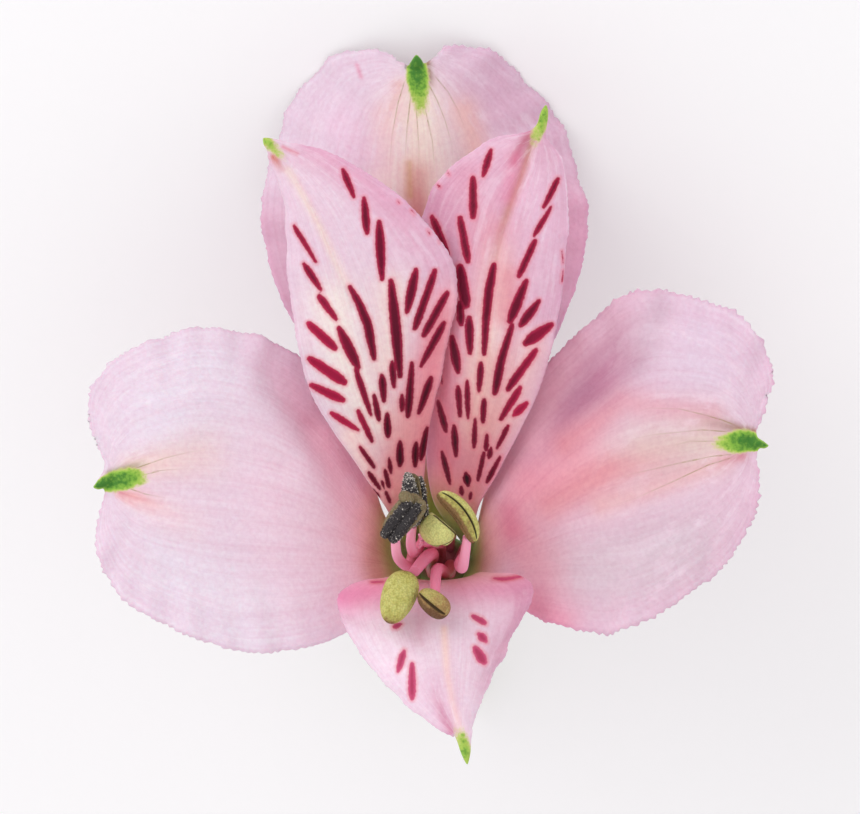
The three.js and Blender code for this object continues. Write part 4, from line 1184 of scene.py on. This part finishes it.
for number, (angle, *route) in FILAMENTS.items():
    turn = math.radians(angle)
    foot = STAMEN_RING_MM * (np.array([math.cos(turn), 0, 0]) + math.sin(turn) * throat_up)
    filament = make_strand(f"filament_strand_{number}", [foot, *route],
                           FILAMENT_RADII_MM[number] * np.array([1, 1.05, 1.05, 1, 0.85]))
    # Filaments 5 and 6 take the darker copy, painted shade under the anthers.
    filament.data.materials.append(rosy_shaded_tissue if number > 4 else strand_tissue)
    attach(filament, "root")
    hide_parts(f"filament_{number}")
    print(filament.name, "faces:", len(filament.data.polygons))

style = make_strand("style_strand", STYLE_ROUTE, (0.45, 0.4, 0.35))
style_parts = [style]
tip = np.array(STYLE_ROUTE[-1])
for angle in (0, 120, 240):
    out = np.array([math.cos(math.radians(angle)), math.sin(math.radians(angle)), 0])
    route = [tip - (0, 0, 0.5), tip + 0.25 * out + (0, 0, 0.4), tip + 0.75 * out + (0, 0, 1)]
    style_parts.append(make_strand("stigma_branch", route, (0.22, 0.18, 0.12), sides=16))
join_parts(style_parts)
style.data.materials.append(strand_tissue)
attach(style, "root")
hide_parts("style")

# %% [markdown]
# ## A seamed capsule
# An anther is a blunt capsule with seams along it, where it will split. It starts as a ball,
# whose points know their height and turn. They are moved so that the ends become blunt, the
# seams sink in and the whole tapers or curls. Open anthers are made of the same capsules.

# %% A seamed capsule
def local_frame(axis, face):
    """Rows x, y and z of a frame whose z runs along the axis and whose y looks to the face."""
    z = unit(np.array(axis, float))
    x = unit(np.cross(face, z))
    return np.array([x, np.cross(z, x), z])


def capsule(co, size, blunt=2.4, seams=(), seams_end=(0.55, 0.9), taper=0.0, curl=0.0, flat=None,
            grooves=()):
    """Turns points of a unit ball into a blunt, seamed capsule, and gives each point's seam depth, with
    painted shade added on a flattened side and in grooves.
    """
    length, width, depth = size
    z = np.clip(co[:, 2], -1, 1)
    turn = np.arctan2(co[:, 0], co[:, 1])
    reach = (1 - np.abs(z) ** blunt) ** (1 / blunt)
    seam_and_shade = np.zeros(len(co))
    for angle, seam_depth, seam_width in seams:
        off = (turn - math.radians(angle) + math.pi) % (2 * math.pi) - math.pi
        seam_and_shade += seam_depth * np.exp(-((off / seam_width) ** 2))
    seam_and_shade *= smooth_step(reach, *seams_end)  # seams run out before the ends
    r = reach * (1 - seam_and_shade) * (1 + taper * z)
    local = np.column_stack([r * np.sin(turn) * width / 2, r * np.cos(turn) * depth / 2, z * length / 2])
    # A flattened side is pressed in and darkened like a seam: painted shade for the dark edge line there.
    if flat:
        outwards = np.array([math.sin(math.radians(flat[0])), math.cos(math.radians(flat[0])), 0])
        past = np.maximum(local @ outwards - flat[1], 0)
        local -= outwards * past[:, None] * 0.85
        seam_and_shade += smooth_step(past, 0, 0.3) * 0.25
    # Grooves at the near end are dented and darkened like a seam: painted shade for the gap there.
    for angle, distance in grooves:  # across the near end
        beside = local[:, :2] @ (math.sin(math.radians(angle)), math.cos(math.radians(angle))) - distance
        groove = np.exp(-((beside / 0.1) ** 2)) * (z < 0)
        local[:, 2] += 0.15 * groove
        seam_and_shade += 0.22 * groove
    local[:, 0] += curl * (1 - z**2)
    return local, seam_and_shade


def add_ball(name, segments=72, rings=48):
    """A unit ball and its points."""
    bpy.ops.mesh.primitive_uv_sphere_add(segments=segments, ring_count=rings, radius=1)
    ball = bpy.context.object
    ball.name = name
    co = np.empty(3 * len(ball.data.vertices), np.float32)
    ball.data.vertices.foreach_get("co", co)
    return ball, co.reshape(-1, 3).astype(float)


def place_mesh(piece, local, at, axis, face):
    """Moves a mesh's points from an anther's own millimetres to their place in the model."""
    placed = in_model(local @ local_frame(axis, face) + at)
    piece.data.vertices.foreach_set("co", placed.astype(np.float32).ravel())
    piece.data.update()
    bpy.ops.object.shade_smooth()


print("capsules are ready")

# %% [markdown]
# ## Anther walls
# The wall of an anther is dull and grainy: a cell pattern of about a fifth of a millimetre dimples it. A
# pattern alone would brown it evenly, so paint on the points says where it is brown or dark and where a
# seam lies. On anther 3 the seam paint also darkens a flattened side and two grooves at its near end, as
# painted shade for the gaps there.

# %% Anther walls
def anther_wall(name, pale, mid, dark, seam_color):
    """Grainy anther wall; the points' shade attribute runs from pale to brown."""
    material, tree, shader = new_material(name, Roughness=0.62, IOR=1.4, Specular_IOR_Level=0.25,
                                          Subsurface_Weight=0.15, Subsurface_Scale=0.0004)
    place = add_node(tree, "TexCoord")["Object"]
    shade, seam = (add_node(tree, "Attribute", attribute_name=key)["Fac"] for key in ("shade", "seam"))
    cells = add_node(tree, "TexVoronoi", {"Vector": place, "Scale": 5200})["Distance"]
    patches = add_node(tree, "TexNoise", {"Vector": place, "Scale": 1700, "Detail": 3, "Roughness": 0.7})[0]
    wobble = add_node(tree, "Math", {0: patches, 1: 0.9, 2: shade}, operation="MULTIPLY_ADD")[0]
    tone = add_node(tree, "ValToRGB", {0: wobble}, ((0.3, pale), (0.62, mid), (1, dark)))[0]
    dots = add_node(tree, "ValToRGB", {0: cells}, ((0.25, "#FFFFFF"), (0.8, "#9A9468")))[0]
    grained = add_node(tree, "Mix", {0: 0.4, 6: tone, 7: dots}, data_type="RGBA", blend_type="MULTIPLY")[2]
    in_seam = add_node(tree, "MapRange", {"Value": seam, "From Min": 0.25, "From Max": 0.75},
                       interpolation_type="SMOOTHSTEP")[0]
    seamed = add_node(tree, "Mix", {0: in_seam, 6: grained, 7: linear(seam_color)}, data_type="RGBA")[2]
    dress(tree, shader, seamed, cells, 0.5, 0.1, invert=True)
    return material


green_wall = anther_wall("unripe_anther_wall", "#D6D488", "#C0BC68", "#8F6E4A", "#3F3524")
brown_wall = anther_wall("browning_anther_wall", "#C0B56E", "#AB8A5A", "#74543A", "#45331F")

print("anther walls:", green_wall.name, brown_wall.name)

# %% [markdown]
# ## Closed anthers
# An unopened anther is plump and two-lobed, yellow-green or brown, with a seam down the face and often one
# more at a side. No two look alike from the front, so a table gives each its size, place, lean and seams,
# and a few lines of paint say where it browns; on anther 3 the paint instead keeps the wall paler, as
# painted light against the shadow that anther 2 casts on it.

# %% Closed anthers
CLOSED = {  # size, place, axis, face, seams (degrees from the face, depth, width), extras
    3: ((5, 3.3, 3.2), (-0.5, 3.9, 24), (-0.35, 0.25, -0.9), (0.3, -1, -0.3),
        [(112, 0.2, 0.16), (-15, 0.25, 0.18)],
        {"blunt": 2.1, "flat": (120, 0.95), "grooves": ((120, 0.84), (6, 0.9))}),
    4: ((6, 2, 2.1), (1.45, 5.15, 25), (0.6, -0.8, 0), (0.2, 0.2, 1),
        [(9, 0.34, 0.16), (-75, 0.12, 0.2)], {"blunt": 2.6, "curl": 0.66, "seams_end": (0.3, 0.6)}),
    5: ((5.7, 3.5, 2.8), (-4.3, -2.7, 24.9), (-0.3, -0.85, 0.42), (0.4, 0.3, -0.8),
        [(0, 0.25, 0.2), (90, 0.08, 0.12), (-90, 0.08, 0.12)], {"blunt": 2.2, "taper": -0.17}),
    6: ((3.6, 2.4, 2.3), (-0.85, -3.2, 26.1), (0.75, -0.6, 0.2), (-0.2, -0.3, 0.9),
        [(8, 0.34, 0.2), (180, 0.12, 0.2)], {"blunt": 2.3, "taper": 0.1, "seams_end": (0.3, 0.6)}),
}


def make_closed_anther(number, size, at, axis, face, seams, extras):
    """One capsule with its seams, its shades of brown and its grainy wall."""
    anther, co = add_ball(f"anther_capsule_{number}")
    local, seam_and_shade = capsule(co, size, seams=seams, **extras)
    place_mesh(anther, local, at, axis, face)
    turn = np.degrees(np.arctan2(co[:, 0], co[:, 1]))
    end = np.abs(co[:, 2]) ** 6
    # Anther 3's wall is kept paler all over: painted light against the shadow that anther 2 casts on it.
    shade = {3: 0.1 * co[:, 2] - 0.15, 5: 0.06 + 0.5 * end,
             4: 0.3 * smooth_step(-turn, -10, 5) + 0.7 * smooth_step(-turn, 25, 65),
             6: 0.55 * smooth_step(-turn, -10, 20) + 0.2 * smooth_step(co[:, 2], -0.5, 0.6) - 0.05}
    store(anther.data, "shade", shade[number])
    store(anther.data, "seam", seam_and_shade / max(depth for _, depth, _ in seams))
    anther.data.materials.append(brown_wall if number == 6 else green_wall)
    anther.select_set(False)
    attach(anther, "root")
    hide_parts(f"anther_{number}")
    print(anther.name, "vertices:", len(co))


for number, facts in CLOSED.items():
    make_closed_anther(number, *facts)

# %% [markdown]
# ## Pollen
# Slate grey pollen crowds on an open anther. Each grain is far smaller than a pixel, so grains
# are drawn a little larger than life, as small balls of only twenty faces, scattered by a seeded
# generator. Each has a tone of its own, and a few catch the light and look almost white.

# %% Pollen
slate_pollen, tree, shader = new_material("slate_pollen", Roughness=0.75, IOR=1.45, Specular_IOR_Level=0.3)
grain_tone = add_node(tree, "Attribute", attribute_name="grain_tone")["Fac"]
grey = add_node(tree, "ValToRGB", {0: grain_tone},
                ((0, "#2B282B"), (0.45, "#524D4C"), (0.8, "#8A8480"), (1, "#D6D0C6")))[0]
tree.links.new(grey, shader.inputs["Base Color"])

bpy.ops.mesh.primitive_ico_sphere_add(subdivisions=1, radius=1)
grain = bpy.context.object
grain_points = np.array([v.co for v in grain.data.vertices])
grain_faces = np.array([p.vertices for p in grain.data.polygons])
bpy.ops.object.delete()
GRAIN_MM, GRAINS_PER_MM2 = 0.065, 110


def scatter_grains(name, points, normals, count, tone, pale, random):
    """A mesh of small balls on the given surface points, each with its own tone."""
    chosen = random.choice(len(points), count)
    sizes = GRAIN_MM * random.uniform(0.7, 1.25, count)
    centres = points[chosen] + normals[chosen] * (sizes * random.uniform(-0.2, 0.9, count))[:, None]
    centres += random.normal(0, 0.03, centres.shape)
    vertices = (centres[:, None] + sizes[:, None, None] * grain_points).reshape(-1, 3)
    faces = (grain_faces + len(grain_points) * np.arange(count)[:, None, None]).reshape(-1, 3)
    mesh = bpy.data.meshes.new(name)
    mesh.from_pydata(vertices.tolist(), [], faces.tolist())
    tone = np.clip(random.normal(tone, 0.18, count) + (random.random(count) < pale) * 0.45, 0, 1)
    store(mesh, "grain_tone", np.repeat(tone, len(grain_points)))
    mesh.transform(Matrix.Scale(MM, 4))
    mesh.materials.append(slate_pollen)
    grains = bpy.data.objects.new(name, mesh)
    bpy.context.scene.collection.objects.link(grains)
    return grains


print("faces of a pollen grain:", len(grain_faces))

# %% [markdown]
# ## Open anthers
# A ripe anther splits along its seams: the grey-green wall rolls back like a boat, and the pollen
# lies on its two lobes. Wall and lobes are capsules again, and the grains sit on the side of the
# lobes that looks to the viewer. The parts are joined, because an anther is one piece.

# %% Open anthers
open_wall = anther_wall("ripe_anther_wall", "#8E8062", "#7A6C50", "#5C503A", "#4C4A2C")


def make_open_anther(number, at, axis, face, wall, beds, tone, pale, seed):
    """Wall, pollen beds and grains, joined in one piece."""
    random = np.random.default_rng(seed)
    made = []
    for i, (size, shift, extras) in enumerate([*wall, *beds]):
        ball, co = add_ball(f"anther_part_{number}_{i}", 64, 40)
        local, _ = capsule(co, size, **extras)
        place_mesh(ball, local + shift, at, axis, face)
        is_wall = i < len(wall)
        ball.data.materials.append(open_wall if is_wall else slate_pollen)
        store(ball.data, "shade", 0.2 * np.abs(co[:, 2]) ** 4)
        store(ball.data, "seam", np.zeros(len(co)))
        store(ball.data, "grain_tone", np.full(len(co), 0.1))
        made.append(ball)
        if not is_wall:
            normals = np.array([v.normal for v in ball.data.vertices])
            front = normals @ np.array(lie_back) @ np.array(face) > -0.25
            points = np.array([v.co for v in ball.data.vertices])[front] / MM
            count = int(GRAINS_PER_MM2 * size[0] * size[1])
            made.append(scatter_grains(f"grains_{number}_{i}", points, normals[front], count, tone, pale,
                                       random))
    join_parts(made)
    anther = made[0]
    anther.name = f"anther_pollen_{number}"
    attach(anther, "root")
    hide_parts(f"anther_{number}")
    print(anther.name, "triangles:", sum(len(p.vertices) - 2 for p in anther.data.polygons))


# Each part of a wall or a bed is its size, its shift from the anther's place, and its shape.
make_open_anther(
    1, (-2.8, 6.9, 24.2), (0.12, -0.98, -0.1), (0.3, 0, 1),
    wall=[((5.1, 2.5, 1.5), (0.1, -0.3, 0.05), {"blunt": 2.6, "taper": 0.2}),
          ((4.7, 0.22, 1), (0.6, 0.32, 0.1), {"blunt": 2.6})],
    beds=[((5.2, 1.7, 1.7), (-0.3, 0.05, 0), {"blunt": 2.5, "taper": 0.25}),
          ((4.5, 0.6, 1.2), (0.98, 0.02, 0.2), {"blunt": 2.8})],
    tone=0.6, pale=0.35, seed=11)
make_open_anther(
    2, (-3.8, 5.1, 27.4), (-0.6, -0.8, 0), (0, 0, 1),
    wall=[((5.2, 2.7, 1.7), (-0.1, -0.45, -0.1), {"blunt": 2.4}),
          ((1.3, 1.7, 1.3), (-0.9, 0.15, -1.75), {"blunt": 2.2}),
          ((1.3, 1.1, 1.2), (0.56, 0, -1.97), {"blunt": 2.2}),
          ((2.4, 0.6, 1.3), (1.1, -0.2, -1.1), {"blunt": 2.2})],
    beds=[((4.5, 1.15, 1.6), (-0.5, 0.2, 0.35), {"blunt": 2.8}),
          ((4.6, 1.2, 1.7), (0.42, 0.2, 0.2), {"blunt": 2.8})],
    tone=0.29, pale=0.1, seed=12)

# %% [markdown]
# ## Ovary
# Under the tepals sits the ovary, a green capsule with six low ribs that will be the seed pod.
# It is a turned shape with a sixfold swell, so half its outline is drawn and spun around its
# axis, and then the ribs are pushed out between the poles.

# %% Ovary
OVARY_OUTLINE = [(0, 0.05), (1.6, 0.05), (2.9, -0.02), (3.4, -0.6), (3.55, -1.6), (3.5, -2.9), (3.1, -5),
                 (2.3, -6.6), (1.5, -7.7), (0, -7.8)]
OUTLINE_POINTS = 40
RIB_MM, RIBS = 0.4, 6

outline = smooth_curve([(r, 0, z) for r, z in OVARY_OUTLINE], np.linspace(0, 1, OUTLINE_POINTS))
mesh = bpy.data.meshes.new("ovary_pod")
mesh.from_pydata(outline.tolist(), [(i, i + 1) for i in range(OUTLINE_POINTS - 1)], [])
ovary = bpy.data.objects.new("ovary_pod", mesh)
bpy.context.scene.collection.objects.link(ovary)
bpy.context.view_layer.objects.active = ovary
ovary.select_set(True)
bpy.ops.object.mode_set(mode="EDIT")
bpy.ops.mesh.select_all(action="SELECT")
bpy.ops.mesh.spin(steps=96, angle=2 * math.pi, center=(0, 0, 0), axis=(0, 0, 1))
bpy.ops.mesh.select_all(action="SELECT")
bpy.ops.mesh.remove_doubles(threshold=0.001)
bpy.ops.mesh.normals_make_consistent(inside=False)
bpy.ops.object.mode_set(mode="OBJECT")
co = np.array([v.co for v in ovary.data.vertices])
turn = np.arctan2(co[:, 1], co[:, 0])
belly = np.sin(np.clip(co[:, 2] / OVARY_OUTLINE[-1][1], 0, 1) * math.pi)
rib_height = belly * (0.5 + 0.5 * np.cos(RIBS * turn)) ** 0.6
radial = np.hypot(co[:, 0], co[:, 1])
co[:, :2] *= (1 + RIB_MM * (rib_height - 0.5) / np.maximum(radial, 0.5))[:, None]
store(ovary.data, "rib", 0.6 * rib_height)
place_mesh(ovary, co, (0, 0, 0), throat_along, (0, 1, 0))

print("ovary faces:", len(ovary.data.polygons))

# %% [markdown]
# ## Ovary skin
# The skin is green and finely speckled, paler on the ribs, and dull red on top, where the filaments stand:
# painted shade for the deep red between the filaments' feet. The ribs' height was kept on the points, so
# colour and shape agree.

# %% Ovary skin
pod_skin, tree, shader = new_material("ovary_skin", Roughness=0.5, IOR=1.4, Specular_IOR_Level=0.35,
                                      Subsurface_Weight=0.15, Subsurface_Scale=0.0006)
place = add_node(tree, "TexCoord")["Object"]
speckle = add_node(tree, "TexNoise", {"Vector": place, "Scale": 1500, "Detail": 4, "Roughness": 0.65})[0]
rib = add_node(tree, "Attribute", attribute_name="rib")["Fac"]
mixed = add_node(tree, "Math", {0: speckle, 1: 0.6, 2: rib}, operation="MULTIPLY_ADD")[0]
tone = add_node(tree, "ValToRGB", {0: mixed}, ((0.2, "#4F7030"), (0.6, "#6F8F3C"), (1, "#94A954")))[0]
# Painted shade: the top turns dull red, the shaded red seen between the filaments' feet.
top_shade_mask = add_node(tree, "MapRange", {"Value": from_ovary_top(tree), "From Min": 3 * MM,
                                     "From Max": 1.4 * MM})[0]
top_shaded = add_node(tree, "Mix", {0: top_shade_mask, 6: tone, 7: linear("#A4525C")}, data_type="RGBA")[2]
dress(tree, shader, top_shaded, speckle, 0.3, 0.2)
ovary.data.materials.append(pod_skin)
ovary.select_set(False)
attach(ovary, "root")
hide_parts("ovary")
print("ovary material:", pod_skin.name)

# %% [markdown]
# ## Stalk
# The stalk is smooth, round and fresh green, with fine lengthwise lines, and its cut end shows
# paler pith. It is one more strand, thicker than the others, and the flat cap at its end gets a
# material of its own.

# %% Stalk
STALK_MM, STALK_LENGTH_MM, STALK_SWEEP_MM, STALK_TOP_MM = 1.4, 25.4, 2.5, -7.7
route = [throat_along * (STALK_TOP_MM - STALK_LENGTH_MM * h) + (STALK_SWEEP_MM * h * h, 0, 0)
         for h in (0, 0.25, 0.5, 0.75, 1)]
stalk = make_strand("stalk_stem", route, (1.42, 1.36, 1.34, 1.38, STALK_MM), sides=48)

stem_skin, tree, shader = new_material("stalk_skin", Roughness=0.45, IOR=1.4, Specular_IOR_Level=0.4,
                                       Subsurface_Weight=0.15, Subsurface_Scale=0.0006)
place = add_node(tree, "TexCoord")["Object"]
along_stem = add_node(tree, "Mapping", {"Vector": place, "Scale": (1, 1, 16),
                                        "Rotation": (math.radians(LIE_BACK_DEG) - lean, 0, 0)},
                      vector_type="TEXTURE")[0]
lines = add_node(tree, "TexNoise", {"Vector": along_stem, "Scale": 3200, "Detail": 3})[0]
tone = add_node(tree, "ValToRGB", {0: lines}, ((0.3, "#67853A"), (0.5, "#7F9A4A"), (0.7, "#97AC5E")))[0]
dress(tree, shader, tone, lines, 0.35, 0.2)

pith, tree, shader = new_material("cut_pith", Roughness=0.7, IOR=1.35, Subsurface_Weight=0.2,
                                  Subsurface_Scale=0.0006)
place = add_node(tree, "TexCoord")["Object"]
pores = add_node(tree, "TexVoronoi", {"Vector": place, "Scale": 3000})["Distance"]
tone = add_node(tree, "ValToRGB", {0: pores}, ((0.1, "#B9C48B"), (0.7, "#DDE2BE")))[0]
tree.links.new(tone, shader.inputs["Base Color"])
stalk.data.materials.append(stem_skin)
stalk.data.materials.append(pith)
cut = Vector(in_model(route[-1]))
for face in stalk.data.polygons:
    if len(face.vertices) == 3 and (cut - face.center).length < STALK_MM * MM:
        face.material_index = 1
        face.use_smooth = False
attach(stalk, "root")
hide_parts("stalk")
cut_faces = sum(face.material_index for face in stalk.data.polygons)
print("stalk faces:", len(stalk.data.polygons), "cut faces:", cut_faces)

# %% [markdown]
# ## Measures and finish
# The floor is set to the flower's lowest point, so that it rests there without a gap. The visual model's
# box is printed.

# %% Measures and finish
low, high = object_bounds()
floor.location.z = low.z
print("visual box mm:", [round(x / MM, 1) for x in high - low])
